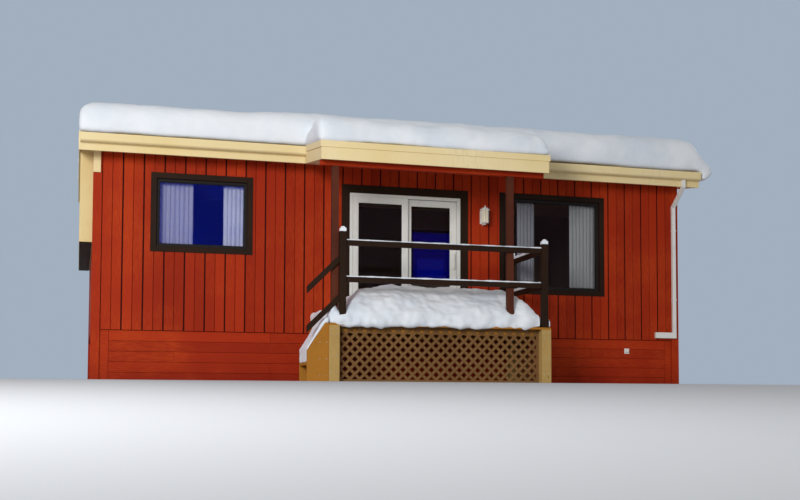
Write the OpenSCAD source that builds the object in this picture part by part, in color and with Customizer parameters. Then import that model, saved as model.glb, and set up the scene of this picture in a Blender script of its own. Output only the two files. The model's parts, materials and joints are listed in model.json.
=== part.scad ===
// Winter fishing hut with a porch: a long low cabin on a boarded skirt,
// with a raised deck, a lean-to canopy, a sliding patio door and snow on its roofs.
// Millimetres. X runs along the front wall, Y from front to back, Z up from the ground.

/* [Cabin] */
// Length of the cabin along its front wall
hut_l = 8840; // [8400:20:9600]
// Depth of the cabin from front wall to back wall
hut_d = 3660; // [3200:20:4200]
// Height of the floor above the ground
floor_z = 780; // [600:10:900]
// Height of the roof's underside at its front and back edges
soffit_z = 3140; // [3100:10:3400]
// Thickness of the outer walls
wall_t = 110; // [90:5:150]
// Thickness of the siding, which laps over the top of the skirt
siding_t = 20; // [12:1:30]
// How far the siding hangs below the floor line
siding_lap = 50; // [20:5:80]
// Thickness of the skirt boards
skirt_t = 40; // [25:5:60]
// Thickness of the floor
floor_t = 140; // [100:10:200]
// Width of each leg of a corner board
corner_w = 100; // [70:5:140]
// Thickness of a corner board
corner_t = 18; // [12:1:25]

/* [Roof] */
// Rise of the roof for each unit that it runs back
roof_slope = 0.144; // [0.1:0.005:0.18]
// Thickness of the roof, measured upright
roof_t = 225; // [180:5:260]
// How far the roof reaches past the front and back walls
eave_over = 350; // [250:10:420]
// How far the roof reaches past the end walls
end_over = 195; // [150:5:260]
// Thickness of fascia and barge boards
fascia_t = 20; // [15:1:30]
// How far the fascia hangs below the roof's underside
fascia_drop = 25; // [10:5:50]
// Depth of the gutter from fascia to lip
gutter_w = 110; // [90:5:130]
// Height of the gutter
gutter_h = 120; // [90:5:140]
// Wall thickness of the gutter
gutter_wall = 4; // [3:0.5:6]
// Width of the square downspout
spout_w = 55; // [50:5:80]

/* [End bay] */
// How far the bay stands out from the left end wall
bay_out = 190; // [120:5:190]
// Height of the bay's underside above the ground
bay_z = 1930; // [1700:10:2100]
// Distance of the bay from the cabin's front and back corners
bay_inset = 60; // [40:5:200]

/* [Windows] */
// Width of the dark casing round each window
trim_w = 80; // [70:5:130]
// Thickness of the casing boards
trim_t = 20; // [12:1:30]
// Width of a window's own frame
sash_w = 35; // [30:5:60]
// Depth of a window's own frame
sash_d = 70; // [50:5:90]
// Thickness of the glazing
pane_t = 18; // [6:1:24]
// Left window: its opening's distance from the left corner
left_win_x = 830; // [600:10:1100]
// Left window: width of its opening
left_win_w = 1250; // [1000:10:1400]
// Left window: height of its sill
left_win_z = 1905; // [1700:5:2000]
// Left window: height of its opening
left_win_h = 950; // [700:10:1000]
// Right window: its opening's distance from the left corner
right_win_x = 5945; // [5900:5:6200]
// Right window: width of its opening
right_win_w = 1565; // [1300:5:1800]
// Right window: height of its sill
right_win_z = 1470; // [1350:10:1700]
// Right window: height of its opening
right_win_h = 1380; // [1000:10:1400]
// Back windows: distance of each from its end of the cabin
back_win_x = 2160; // [900:20:2200]
// Bay window: width of its opening
bay_win_w = 2000; // [1400:20:2400]

/* [Patio door] */
// Distance of the doorway from the left corner
door_x = 3560; // [3400:10:3700]
// Width of the doorway
door_w = 1690; // [1600:10:1750]
// Height of the doorway
door_h = 2020; // [1950:10:2060]
// Width of the dark casing round the doorway
casing_w = 120; // [80:5:125]
// Width of the door's outer frame
jamb_w = 45; // [35:5:60]
// Height of the sill under the panels
door_sill = 35; // [25:5:50]
// Thickness of each door panel
panel_t = 40; // [30:2:42]
// Width of a panel's stiles and top rail
stile_w = 80; // [60:5:100]
// Height of a panel's bottom rail
kick_h = 120; // [80:5:160]
// Clearance round the moving panel
run_gap = 5; // [5:1:8]
// Travel of the sliding panel
slide_travel = 660; // [400:10:660]

/* [Canopy] */
// Distance of the canopy roof from the left corner
canopy_x = 2860; // [2600:20:3000]
// Width of the canopy roof
canopy_w = 3180; // [2900:20:3300]
// How far the canopy reaches past the front wall
canopy_out = 1580; // [1500:20:1800]
// Width of the square canopy posts
post_w = 90; // [80:5:120]
// Left post: its centre's distance from the left corner
left_post_x = 3065; // [3020:5:3100]
// Right post: its centre's distance from the left corner
right_post_x = 5545; // [5300:5:5700]
// Height of the beam on the posts
beam_h = 90; // [70:5:140]

/* [Deck] */
// Distance of the deck from the left corner
deck_x = 2980; // [2900:10:3000]
// Width of the deck
deck_w = 3140; // [3000:20:3300]
// Depth of the deck in front of the wall
deck_d = 1500; // [1480:10:1700]
// Thickness of the deck boards
board_t = 30; // [22:1:40]
// Height of the deck's joists and rim
joist_h = 90; // [80:5:140]
// Thickness of the joists and rim
joist_t = 40; // [30:2:50]
// Width of the corner posts under the deck
leg_w = 140; // [90:5:150]
// Distance between neighbouring lattice strips, centre to centre
lattice_pitch = 94; // [90:2:160]
// Width of a lattice strip
strip_w = 38; // [28:2:45]
// Thickness of a lattice strip
strip_t = 8; // [6:1:12]

/* [Railing] */
// Height of the top rail above the deck
rail_top = 1110; // [950:10:1180]
// Height of the lower rail above the deck
rail_mid = 620; // [560:10:640]
// Height of a rail board
rail_h = 70; // [60:5:100]
// Thickness of a rail board
rail_t = 38; // [30:2:50]
// Width of the square railing posts
newel_w = 89; // [80:1:100]

/* [Steps] */
// Reach of the steps past the deck's left side
stair_run = 290; // [260:10:400]
// Width of the steps along the deck's side
stair_w = 600; // [500:10:1000]
// Thickness of the step boards and side boards
tread_t = 38; // [30:2:45]

/* [Snow] */
// Depth of the snow on the main roof, measured upright
snow_t = 535; // [350:5:600]
// Depth of the snow at the canopy's front edge
canopy_snow_t = 362; // [250:2:450]
// How far the snow leans past the right end of the roof
cornice = 215; // [100:5:260]
// Depth of the snow heap on the deck
heap_h = 590; // [300:10:600]
// Gap between snow and the posts that it lies round
snow_gap = 3; // [2:1:10]

/* [Hidden] */

red = "firebrick";
dark = "#2b1d18";
cream = "#e9dcae";
white = "#f2f0e8";
pine = "#d8a860";
brown = "#7a5426";
snow_white = "#eef2f6";

// Levels and edges that several pieces share
siding_z = floor_z - siding_lap;
gutter_rim_drop = 30;
roof_y0 = -eave_over;
roof_y1 = hut_d + eave_over;
fascia_y0 = roof_y0 - fascia_t;
gutter_y0 = fascia_y0 - gutter_w;
roof_x0 = -end_over;
roof_x1 = hut_l + end_over;
barge_x0 = roof_x0 - fascia_t;
barge_x1 = roof_x1 + fascia_t;
ridge_y = hut_d / 2;
canopy_y0 = -canopy_out;
canopy_x1 = canopy_x + canopy_w;
deck_x1 = deck_x + deck_w;
deck_y0 = -deck_d;
// Middle of the front rails
rail_y = deck_y0 + newel_w / 2;
snow_lip = 15;
snow_y0 = gutter_y0 + snow_lip;
// The drip board along the top of the canopy's fascia
drip_t = 15;
drip_h = 85;
canopy_snow_y0 = canopy_y0 - fascia_t - drip_t;
fascia_z0 = soffit_z - fascia_drop;
fascia_z1 = soffit_z + roof_t;

// The whole hut, so that the origin lies at the middle of its base
min_x = barge_x0;
max_x = barge_x1 + cornice;
min_y = canopy_snow_y0;
max_y = hut_d - gutter_y0;

// Height of the roof's underside over a place y, on either slope and on the canopy
function under(y) = soffit_z + roof_slope * (min(y, hut_d - y) + eave_over);
// Points of an arc in the plane, from angle a0 to a1
function arc(cx, cy, r, a0, a1, n) =
    [for (i = [0:n]) let (a = a0 + (a1 - a0) * i / n) [cx + r * cos(a), cy + r * sin(a)]];

module site() translate([-(min_x + max_x) / 2, -(min_y + max_y) / 2, 0]) children();
// A box between two corners
module block(lo, hi) translate(lo) cube(hi - lo);
// An outline in Y and Z, drawn out along X
module along_x(x0, x1, outline)
    translate([x0, 0, 0]) rotate([90, 0, 90]) linear_extrude(x1 - x0) polygon(outline);
// An outline in X and Z, drawn out along Y
module along_y(y0, y1, outline)
    translate([0, y1, 0]) rotate([90, 0, 0]) linear_extrude(y1 - y0) polygon(outline);
// A flat ring in X and Z: an outer rectangle less an inner one
module ring_y(y0, y1, x0, x1, z0, z1, w) difference() {
    block([x0, y0, z0], [x1, y1, z1]);
    block([x0 + w, y0 - 1, z0 + w], [x1 - w, y1 + 1, z1 - w]);
}
module ring_x(x0, x1, y0, y1, z0, z1, w) difference() {
    block([x0, y0, z0], [x1, y1, z1]);
    block([x0 - 1, y0 + w, z0 + w], [x1 + 1, y1 - w, z1 - w]);
}

// Skirt and floor
skirt_in = siding_t + skirt_t;
module skirt_front() color(red) site() block([siding_t, siding_t, 0], [hut_l - siding_t, skirt_in, floor_z]);
module skirt_back() color(red) site()
    block([siding_t, hut_d - skirt_in, 0], [hut_l - siding_t, hut_d - siding_t, floor_z]);
module skirt_ends() color(red) site() for (x = [siding_t, hut_l - skirt_in])
    block([x, skirt_in, 0], [x + skirt_t, hut_d - skirt_in, floor_z]);
module floor() color("tan") site()
    block([skirt_in, skirt_in, floor_z - floor_t], [hut_l - skirt_in, hut_d - skirt_in, floor_z]);

// Walls: the core stands on the floor and the siding laps over the skirt
front_profile = [
    [0, siding_z], [siding_t, siding_z], [siding_t, floor_z], [wall_t, floor_z],
    [wall_t, under(wall_t)], [0, under(0)]
];
door_x1 = door_x + door_w;
door_z1 = floor_z + door_h;
module window_hole(x, z, w, h) block([x, -1, z], [x + w, wall_t + 1, z + h]);
module front_wall_left() color(red) site() difference() {
    along_x(0, door_x, front_profile);
    window_hole(left_win_x, left_win_z, left_win_w, left_win_h);
}
module front_wall_right() color(red) site() difference() {
    along_x(door_x1, hut_l, front_profile);
    window_hole(right_win_x, right_win_z, right_win_w, right_win_h);
}
module wall_over_door() color(red) site()
    along_x(door_x, door_x1, [[0, door_z1], [wall_t, door_z1], [wall_t, under(wall_t)], [0, under(0)]]);
// Everything at the back repeats the left front window
back_wins = [back_win_x, hut_l - back_win_x - left_win_w];
module from_back() translate([0, hut_d, 0]) mirror([0, 1, 0]) children();
module back_wall() color(red) site() from_back() difference() {
    along_x(0, hut_l, front_profile);
    for (x = back_wins) window_hole(x, left_win_z, left_win_w, left_win_h);
}
module end_wall() {
    along_x(0, wall_t, [
        [wall_t, floor_z], [hut_d - wall_t, floor_z], [hut_d - wall_t, under(wall_t)],
        [ridge_y, under(ridge_y)], [wall_t, under(wall_t)]
    ]);
    block([0, siding_t, siding_z], [siding_t, hut_d - siding_t, floor_z]);
}
bay_win_y = ridge_y - bay_win_w / 2;
bay_sill_rise = 150;
bay_win_z = bay_z + bay_sill_rise;
bay_win_h = left_win_z + left_win_h - bay_win_z;
module left_wall() color(red) site() difference() {
    end_wall();
    block([-1, bay_win_y, bay_win_z], [wall_t + 1, bay_win_y + bay_win_w, bay_win_z + bay_win_h]);
}
module right_wall() color(red) site() translate([hut_l, 0, 0]) mirror([1, 0, 0]) end_wall();
// An L round a corner: how far it reaches in behind the siding's face, and the length of its side leg
function corner_outline(inner, side) = [
    [-corner_t, -corner_t], [corner_w, -corner_t], [corner_w, inner],
    [inner, inner], [inner, side], [-corner_t, side]
];
module corner_piece(z0, z1, inner, side)
    translate([0, 0, z0]) linear_extrude(z1 - z0) polygon(corner_outline(inner, side));
// From the ground to the roof, packed out below where the skirt lies back
module corner_board(side) {
    corner_piece(0, siding_z, siding_t, corner_w);
    corner_piece(siding_z, bay_z, 0, corner_w);
    corner_piece(bay_z, under(-corner_t), 0, side);
}
module corner_boards() color(red) site() {
    corner_board(bay_inset);
    from_back() corner_board(bay_inset);
    translate([hut_l, 0, 0]) mirror([1, 0, 0]) {
        corner_board(corner_w);
        from_back() corner_board(corner_w);
    }
}
// Cream boards that close the ends of the eaves on the left corners
return_w = 80;
return_t = 25;
return_z = 2885;
module eave_return()
    block([-corner_t, -corner_t - return_t, return_z], [return_w, -corner_t, under(-corner_t - return_t)]);
module eave_returns() color(cream) site() {
    eave_return();
    from_back() eave_return();
}
// A shallow box on the left end wall, under the roof
module end_bay() color(cream) site() difference() {
    along_x(-bay_out, 0, [
        [bay_inset, bay_z], [hut_d - bay_inset, bay_z], [hut_d - bay_inset, under(bay_inset)],
        [ridge_y, under(ridge_y)], [bay_inset, under(bay_inset)]
    ]);
    block([-bay_out - 1, bay_win_y, bay_win_z], [1, bay_win_y + bay_win_w, bay_win_z + bay_win_h]);
}

// Roof: two sloping slabs that meet at the ridge
function slope_outline(y0, y1) = [
    [y0, under(y0)], [y1, under(y1)], [y1, under(y1) + roof_t], [y0, under(y0) + roof_t]
];
module roof_front() color(cream) site() along_x(roof_x0, roof_x1, slope_outline(roof_y0, ridge_y));
module roof_back() color(cream) site() along_x(roof_x0, roof_x1, slope_outline(ridge_y, roof_y1));
module front_fascia(x0, x1) block([x0, fascia_y0, fascia_z0], [x1, roof_y0, fascia_z1]);
// Beside the canopy the eave has a fascia of its own
fascia_gap = fascia_t + 1;
module fascia_boards() color(cream) site() {
    front_fascia(roof_x0, canopy_x - fascia_gap);
    front_fascia(canopy_x1 + fascia_gap, roof_x1);
    from_back() front_fascia(roof_x0, roof_x1);
}
module barge_board(x) along_x(x, x + fascia_t, [
    [fascia_y0, fascia_z0], [ridge_y, under(ridge_y) - fascia_drop], [hut_d - fascia_y0, fascia_z0],
    [hut_d - fascia_y0, fascia_z1], [roof_y1, fascia_z1], [ridge_y, under(ridge_y) + roof_t],
    [roof_y0, fascia_z1], [fascia_y0, fascia_z1]
]);
module barge_boards() color(cream) site() {
    barge_board(barge_x0);
    barge_board(roof_x1);
}

// Gutter: a trough with an ogee front, closed at its ends
gutter_z1 = fascia_z1 - gutter_rim_drop;
gutter_z0 = gutter_z1 - gutter_h;
gutter_foot = gutter_w * 0.6;
ogee_r = gutter_w * 0.37;
function gutter_shape(t) = concat(
    [[fascia_y0 - t, gutter_z0 + t], [fascia_y0 - gutter_foot, gutter_z0 + t]],
    arc(fascia_y0 - gutter_foot, gutter_z0 + ogee_r, ogee_r - t, 270, 200, 5),
    [[gutter_y0 + t, gutter_z0 + gutter_h * 0.75]]
);
module gutter(x0, x1) difference() {
    along_x(x0, x1, concat(gutter_shape(0), [[gutter_y0, gutter_z1], [fascia_y0, gutter_z1]]));
    along_x(x0 + gutter_wall, x1 - gutter_wall, concat(
        gutter_shape(gutter_wall),
        [[gutter_y0 + gutter_wall, gutter_z1 + 1], [fascia_y0 - gutter_wall, gutter_z1 + 1]]
    ));
}
module gutters() color(cream) site() {
    gutter(roof_x0, canopy_x - fascia_gap);
    gutter(canopy_x1 + fascia_gap, roof_x1);
    from_back() gutter(roof_x0, roof_x1);
}
// Downspout: from the gutter back to the corner of the wall, down it, and out along its foot
spout_x = hut_l - 100;
spout_y = -corner_t;
spout_out_y = fascia_y0 - spout_w - 2;
spout_top = 2830;
spout_foot = 850;
spout_kick = 300;
spout_bend = 20;
kick_drop = 90;
strap_t = 4;
strap_h = 30;
strap_zs = [1350, 2450];
module downspout() color(white) site() {
    // From the gutter's outlet to the wall
    along_x(spout_x, spout_x + spout_w, [
        [spout_out_y, gutter_z0], [spout_out_y, fascia_z0 - spout_bend], [spout_y - spout_w, spout_top],
        [spout_y - spout_w, spout_foot], [spout_y, spout_foot], [spout_y, spout_top + spout_bend],
        [spout_out_y + spout_w, fascia_z0], [spout_out_y + spout_w, gutter_z0]
    ]);
    block([spout_x - spout_kick, spout_y - spout_w, spout_foot - kick_drop],
        [spout_x + spout_w, spout_y, spout_foot]);
    // Straps that hold it to the corner board
    for (z = strap_zs)
        block([spout_x - strap_t, spout_y - spout_w - strap_t, z],
            [spout_x + spout_w + strap_t, spout_y, z + strap_h]);
}

// Windows
module trim(x, z, w, h)
    ring_y(-trim_t, 0, x - trim_w, x + w + trim_w, z - trim_w, z + h + trim_w, trim_w);
sash_y = 20;
pane_y = sash_y + (sash_d - pane_t) / 2;
// Beads hold a pane on both sides
bead = 12;
module beads(x0, x1, z0, z1, y0, y1, depth)
    for (y = [y0 - depth, y1]) ring_y(y, y + depth, x0, x1, z0, z1, bead);
module sash(x, z, w, h) {
    ring_y(sash_y, sash_y + sash_d, x, x + w, z, z + h, sash_w);
    beads(x + sash_w, x + w - sash_w, z + sash_w, z + h - sash_w, pane_y, pane_y + pane_t, bead);
}
module pane(x, z, w, h)
    block([x + sash_w, pane_y, z + sash_w], [x + w - sash_w, pane_y + pane_t, z + h - sash_w]);
module window_trims() color(dark) site() {
    trim(left_win_x, left_win_z, left_win_w, left_win_h);
    trim(right_win_x, right_win_z, right_win_w, right_win_h);
    for (x = back_wins) from_back() trim(x, left_win_z, left_win_w, left_win_h);
}
module window_frames() color(dark) site() {
    sash(left_win_x, left_win_z, left_win_w, left_win_h);
    sash(right_win_x, right_win_z, right_win_w, right_win_h);
    for (x = back_wins) from_back() sash(x, left_win_z, left_win_w, left_win_h);
    ring_x(-bay_out + sash_y, -bay_out + sash_y + sash_d, bay_win_y, bay_win_y + bay_win_w,
        bay_win_z, bay_win_z + bay_win_h, sash_w);
    for (x = [-bay_out + pane_y - bead, -bay_out + pane_y + pane_t])
        ring_x(x, x + bead, bay_win_y + sash_w, bay_win_y + bay_win_w - sash_w,
            bay_win_z + sash_w, bay_win_z + bay_win_h - sash_w, bead);
}
module window_glass() color("lightsteelblue") site() {
    pane(left_win_x, left_win_z, left_win_w, left_win_h);
    pane(right_win_x, right_win_z, right_win_w, right_win_h);
    for (x = back_wins) from_back() pane(x, left_win_z, left_win_w, left_win_h);
    translate([-bay_out + pane_y, bay_win_y + sash_w, bay_win_z + sash_w])
        cube([pane_t, bay_win_w - 2 * sash_w, bay_win_h - 2 * sash_w]);
}

// Curtains on rods inside the two front windows
rod_r = 12;
rod_y = wall_t + 50;
rod_over = 70;
rod_rise = 60;
bracket_t = 15;
bracket_h = 40;
curtain_t = 40;
curtain_gap = 0.3;
curtain_drop = 90;
module rod(x, w, z) {
    for (bx = [x - rod_over, x + w + rod_over - bracket_t])
        block([bx, wall_t, z - bracket_h / 2], [bx + bracket_t, rod_y + bracket_h / 2, z + bracket_h / 2]);
    translate([x - rod_over, rod_y, z]) rotate([0, 90, 0])
        cylinder(r = rod_r, h = w + 2 * rod_over, $fn = 24);
}
left_rod_z = left_win_z + left_win_h + rod_rise;
right_rod_z = right_win_z + right_win_h + rod_rise;
module curtain_rods() color(white) site() {
    rod(left_win_x, left_win_w, left_rod_z);
    rod(right_win_x, right_win_w, right_rod_z);
}
module curtain(x0, x1, z0, rod_z)
    block([x0, rod_y - curtain_t / 2, z0], [x1, rod_y + curtain_t / 2, rod_z - rod_r - curtain_gap]);
// Edges of the two curtains at each window, from the window opening's left side
left_curtains = [[10, 515], [936, 1290]];
right_curtains = [[268, 548], [1131, 1600]];
module left_window_curtains() color(white) site() for (c = left_curtains)
    curtain(left_win_x + c[0], left_win_x + c[1], left_win_z - curtain_drop, left_rod_z);
module right_window_curtains() color(white) site() for (c = right_curtains)
    curtain(right_win_x + c[0], right_win_x + c[1], right_win_z - curtain_drop, right_rod_z);

// Patio door: a fixed panel in the outer track, a sliding one in the inner track
module door_casing() color(dark) site() difference() {
    block([door_x - casing_w, -trim_t, floor_z], [door_x1 + casing_w, 0, door_z1 + casing_w]);
    block([door_x, -trim_t - 1, floor_z - 1], [door_x1, 1, door_z1]);
}
frame_y0 = -10;
inner_x0 = door_x + jamb_w;
inner_x1 = door_x1 - jamb_w;
inner_z0 = floor_z + door_sill;
inner_z1 = door_z1 - jamb_w;
fixed_y = 5;
slide_y = fixed_y + panel_t + 2 * run_gap;
// The fixed panel reaches a little past the middle, and the sliding one laps behind its stile
meet_over = 40;
interlock = 30;
fixed_x1 = (inner_x0 + inner_x1) / 2 + meet_over;
slide_x0 = fixed_x1 - interlock;
bumper_h = 40;
module door_frame() color(white) site() {
    difference() {
        block([door_x, frame_y0, floor_z], [door_x1, wall_t, door_z1]);
        block([inner_x0, frame_y0 - 1, inner_z0], [inner_x1, wall_t + 1, inner_z1]);
    }
    // Bumper on the sill, where the sliding panel stops
    block([inner_x0, slide_y + run_gap, inner_z0],
        [slide_x0 - slide_travel - run_gap, slide_y + panel_t - run_gap, inner_z0 + bumper_h]);
}
slide_x1 = inner_x1 - run_gap;
slide_z0 = inner_z0 + run_gap;
slide_z1 = inner_z1 - run_gap;
rebate = (panel_t - pane_t) / 2;
bead_inset = 3;
module panel(x0, x1, z0, z1, y) {
    difference() {
        block([x0, y, z0], [x1, y + panel_t, z1]);
        block([x0 + stile_w, y - 1, z0 + kick_h], [x1 - stile_w, y + panel_t + 1, z1 - stile_w]);
    }
    beads(x0 + stile_w, x1 - stile_w, z0 + kick_h, z1 - stile_w,
        y + rebate, y + rebate + pane_t, rebate - bead_inset);
}
module door_pane(x0, x1, z0, z1, y)
    block([x0 + stile_w, y + rebate, z0 + kick_h], [x1 - stile_w, y + rebate + pane_t, z1 - stile_w]);
module fixed_door_panel() color(white) site() panel(inner_x0, fixed_x1, inner_z0, inner_z1, fixed_y);
module fixed_door_glass() color("lightsteelblue") site()
    door_pane(inner_x0, fixed_x1, inner_z0, inner_z1, fixed_y);
// Rollers carry the sliding panel on the sill
roller_r = 15;
roller_gap = 0.3;
roller_w = 12;
roller_inset = 120;
module sliding_door_panel() color(white) site() {
    panel(slide_x0, slide_x1, slide_z0, slide_z1, slide_y);
    for (x = [slide_x0 + roller_inset, slide_x1 - roller_inset])
        translate([x, slide_y + (panel_t - roller_w) / 2, inner_z0 + roller_r + roller_gap])
            rotate([-90, 0, 0]) cylinder(r = roller_r, h = roller_w, $fn = 32);
}
module sliding_door_glass() color("lightsteelblue") site()
    door_pane(slide_x0, slide_x1, slide_z0, slide_z1, slide_y);
handle_z = floor_z + 960;
handle_l = 240;
handle_w = 26;
handle_out = 34;
grip_t = 14;
grip_foot = 30;
handle_x = slide_x1 - stile_w / 2 - handle_w / 2;
module door_handle() color(white) site() difference() {
    block([handle_x, slide_y - handle_out, handle_z], [handle_x + handle_w, slide_y, handle_z + handle_l]);
    block([handle_x - 1, slide_y - handle_out + grip_t, handle_z + grip_foot],
        [handle_x + handle_w + 1, slide_y + 1, handle_z + handle_l - grip_foot]);
}

// Canopy: the main roof's slope carried forward on a beam and two posts
module canopy_roof() color(cream) site() along_x(canopy_x, canopy_x1, slope_outline(canopy_y0, roof_y0));
canopy_fascia_z0 = under(canopy_y0) - fascia_drop;
canopy_fascia_z1 = under(canopy_y0) + roof_t;
drip_y1 = gutter_y0 - drip_t;
drip_z1 = under(drip_y1) + roof_t;
module canopy_fascia() color(cream) site() {
    block([canopy_x - fascia_t, canopy_y0 - fascia_t, canopy_fascia_z0],
        [canopy_x1 + fascia_t, canopy_y0, canopy_fascia_z1]);
    for (x = [canopy_x - fascia_t, canopy_x1])
        along_x(x, x + fascia_t, [
            [canopy_y0, canopy_fascia_z0], [roof_y0, soffit_z - fascia_drop], [roof_y0, soffit_z + roof_t],
            [canopy_y0, canopy_fascia_z1]
        ]);
    // The drip board goes round the front and both sides, as far back as the gutters
    block([canopy_x - fascia_t - drip_t, canopy_snow_y0, canopy_fascia_z1 - drip_h],
        [canopy_x1 + fascia_t + drip_t, canopy_y0 - fascia_t, canopy_fascia_z1]);
    for (x = [canopy_x - fascia_t - drip_t, canopy_x1 + fascia_t])
        along_x(x, x + drip_t, [
            [canopy_snow_y0, canopy_fascia_z1 - drip_h], [canopy_y0, canopy_fascia_z1 - drip_h],
            [drip_y1, drip_z1 - drip_h], [drip_y1, drip_z1],
            [canopy_y0, canopy_fascia_z1], [canopy_snow_y0, canopy_fascia_z1]
        ]);
}
// The posts stand just behind the rails, which are screwed to their faces
beam_y0 = rail_y + rail_t / 2;
beam_y1 = beam_y0 + post_w;
beam_z = under(beam_y0) - beam_h;
module canopy_beam() color(red) site() along_x(canopy_x, canopy_x1, [
    [beam_y0, beam_z], [beam_y1, beam_z], [beam_y1, under(beam_y1)], [beam_y0, under(beam_y0)]
]);
module canopy_posts() color(pine) site() for (x = [left_post_x, right_post_x])
    block([x - post_w / 2, beam_y0, floor_z], [x + post_w / 2, beam_y1, beam_z]);

// Lantern on the wall beside the door: a six-sided case on a bracket, with glass in it
lamp_x = 5600;
lamp_z = 2430;
lamp_out = 130;
plate_w = 90;
plate_h = 200;
plate_t = 15;
arm_w = 24;
// Levels: top of the base, foot and top of the cap, top of the upper cap, top of the finial
lamp_levels = [14, 190, 206, 228, 262];
base_r = 62;
cap_r = 78;
upper_r = 48;
glass_r = 50;
finial_r = 11;
bar_w = 9;
function hexagon(r) = arc(0, 0, r, 0, 300, 5);
module hex(r, z0, z1) translate([0, 0, z0]) linear_extrude(z1 - z0) polygon(hexagon(r));
module at_lamp() translate([lamp_x, -lamp_out, lamp_z]) children();
module wall_lantern() color(white) site() {
    block([lamp_x - plate_w / 2, -plate_t, lamp_z], [lamp_x + plate_w / 2, 0, lamp_z + plate_h]);
    // The bracket reaches from the plate to the lantern's base
    block([lamp_x - arm_w / 2, -lamp_out, lamp_z - arm_w], [lamp_x + arm_w / 2, -plate_t + 1, lamp_z]);
    block([lamp_x - arm_w / 2, -plate_t, lamp_z - arm_w], [lamp_x + arm_w / 2, 0, lamp_z]);
    at_lamp() {
        hex(base_r, 0, lamp_levels[0]);
        hex(cap_r, lamp_levels[1], lamp_levels[2]);
        hex(upper_r, lamp_levels[2], lamp_levels[3]);
        translate([0, 0, lamp_levels[3]])
            cylinder(r = finial_r, h = lamp_levels[4] - lamp_levels[3], $fn = 24);
        for (p = hexagon(glass_r + bar_w / 2))
            translate([p.x, p.y, lamp_levels[0]]) rotate(atan2(p.y, p.x))
                translate([1 - bar_w / 2, -bar_w / 2, 0])
                    cube([bar_w, bar_w, lamp_levels[1] - lamp_levels[0]]);
    }
}
module lantern_glass() color("lightyellow") site() at_lamp() hex(glass_r, lamp_levels[0], lamp_levels[1]);

// Deck
deck_z0 = floor_z - board_t;
rim_z0 = deck_z0 - joist_h;
joists = 6;
// The frame lies behind the front legs, so that legs and lattice reach up to the boards
legs_y1 = deck_y0 + leg_w;
module deck_frame() color(pine) site() {
    ring_z(deck_x, deck_x1, legs_y1, 0, rim_z0, deck_z0, joist_t);
    for (i = [1:joists])
        let (x = deck_x + i * deck_w / (joists + 1))
            block([x - joist_t / 2, legs_y1 + joist_t, rim_z0], [x + joist_t / 2, -joist_t, deck_z0]);
}
module ring_z(x0, x1, y0, y1, z0, z1, w) difference() {
    block([x0, y0, z0], [x1, y1, z1]);
    block([x0 + w, y0 + w, z0 - 1], [x1 - w, y1 - w, z1 + 1]);
}
module deck_floor() color(pine) site() block([deck_x, deck_y0, deck_z0], [deck_x1, 0, floor_z]);
leg_gap = 10;
module deck_legs() color(pine) site() for (x = [deck_x, deck_x1 - leg_w]) {
    block([x, deck_y0, 0], [x + leg_w, legs_y1, deck_z0]);
    block([x, -leg_w - leg_gap, 0], [x + leg_w, -leg_gap, rim_z0]);
}
// Lattice: strips at 45 degrees in two layers, clipped to the panel
module strips(w, h, turn) intersection() {
    square([w, h]);
    translate([w / 2, h / 2]) rotate(turn)
        for (i = [-ceil((w + h) / lattice_pitch / 2):ceil((w + h) / lattice_pitch / 2)])
            translate([i * lattice_pitch - strip_w / 2, -(w + h) / 2]) square([strip_w, w + h]);
}
module lattice(w, h) {
    linear_extrude(strip_t) strips(w, h, 45);
    translate([0, 0, strip_t - 1]) linear_extrude(strip_t) strips(w, h, -45);
    linear_extrude(2 * strip_t - 1) difference() {
        square([w, h]);
        translate([strip_w, strip_w]) square([w - 2 * strip_w, h - 2 * strip_w]);
    }
}
// The front lattice lies well back between the legs, on the face of the frame
module lattice_front() color(brown) site()
    translate([deck_x + leg_w, legs_y1, 0]) rotate([90, 0, 0]) lattice(deck_w - 2 * leg_w, deck_z0);
module lattice_sides() color(brown) site() for (x = [deck_x + strip_t, deck_x1 - 3 * strip_t])
    translate([x, legs_y1, 0]) rotate([90, 0, 90]) lattice(deck_d - 2 * leg_w - leg_gap, rim_z0);

// Railing
newel_y0 = deck_y0;
left_newel_x = 3115;
newel_inset = 40;
right_newel_x = deck_x1 - newel_w - newel_inset;
back_newel_y = -newel_w - 25;
left_newel_top = 2005;
right_newel_top = 1950;
module newel(x, y, top) block([x, y, floor_z], [x + newel_w, y + newel_w, top]);
module rail_posts() color(dark) site() {
    newel(left_newel_x, newel_y0, left_newel_top);
    newel(right_newel_x, newel_y0, right_newel_top);
    newel(right_newel_x, back_newel_y, right_newel_top);
}
module deck_rails() color(dark) site() for (z = [rail_top, rail_mid]) {
    block([left_newel_x + newel_w, rail_y - rail_t / 2, floor_z + z - rail_h],
        [right_newel_x, rail_y + rail_t / 2, floor_z + z]);
    block([right_newel_x + newel_w / 2 - rail_t / 2, newel_y0 + newel_w, floor_z + z - rail_h],
        [right_newel_x + newel_w / 2 + rail_t / 2, back_newel_y, floor_z + z]);
}
stair_rail_run = 430;
stair_rail_fall = 430;
stair_rail_h = 100;
stair_rail_tops = [1690, 1170];
// A sloping board of the stair rail with its top end at the height top, grown by a gap on all its faces
module stair_rail(top, height, grow) along_y(rail_y - rail_t / 2 - grow, rail_y + rail_t / 2 + grow, [
    [left_newel_x, top + grow], [left_newel_x - stair_rail_run, top + grow - stair_rail_fall],
    [left_newel_x - stair_rail_run, top - height - 2 * grow - stair_rail_fall],
    [left_newel_x, top - height - 2 * grow]
]);
module stair_rails() color(dark) site() for (z = stair_rail_tops) stair_rail(z, stair_rail_h, 0);

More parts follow.
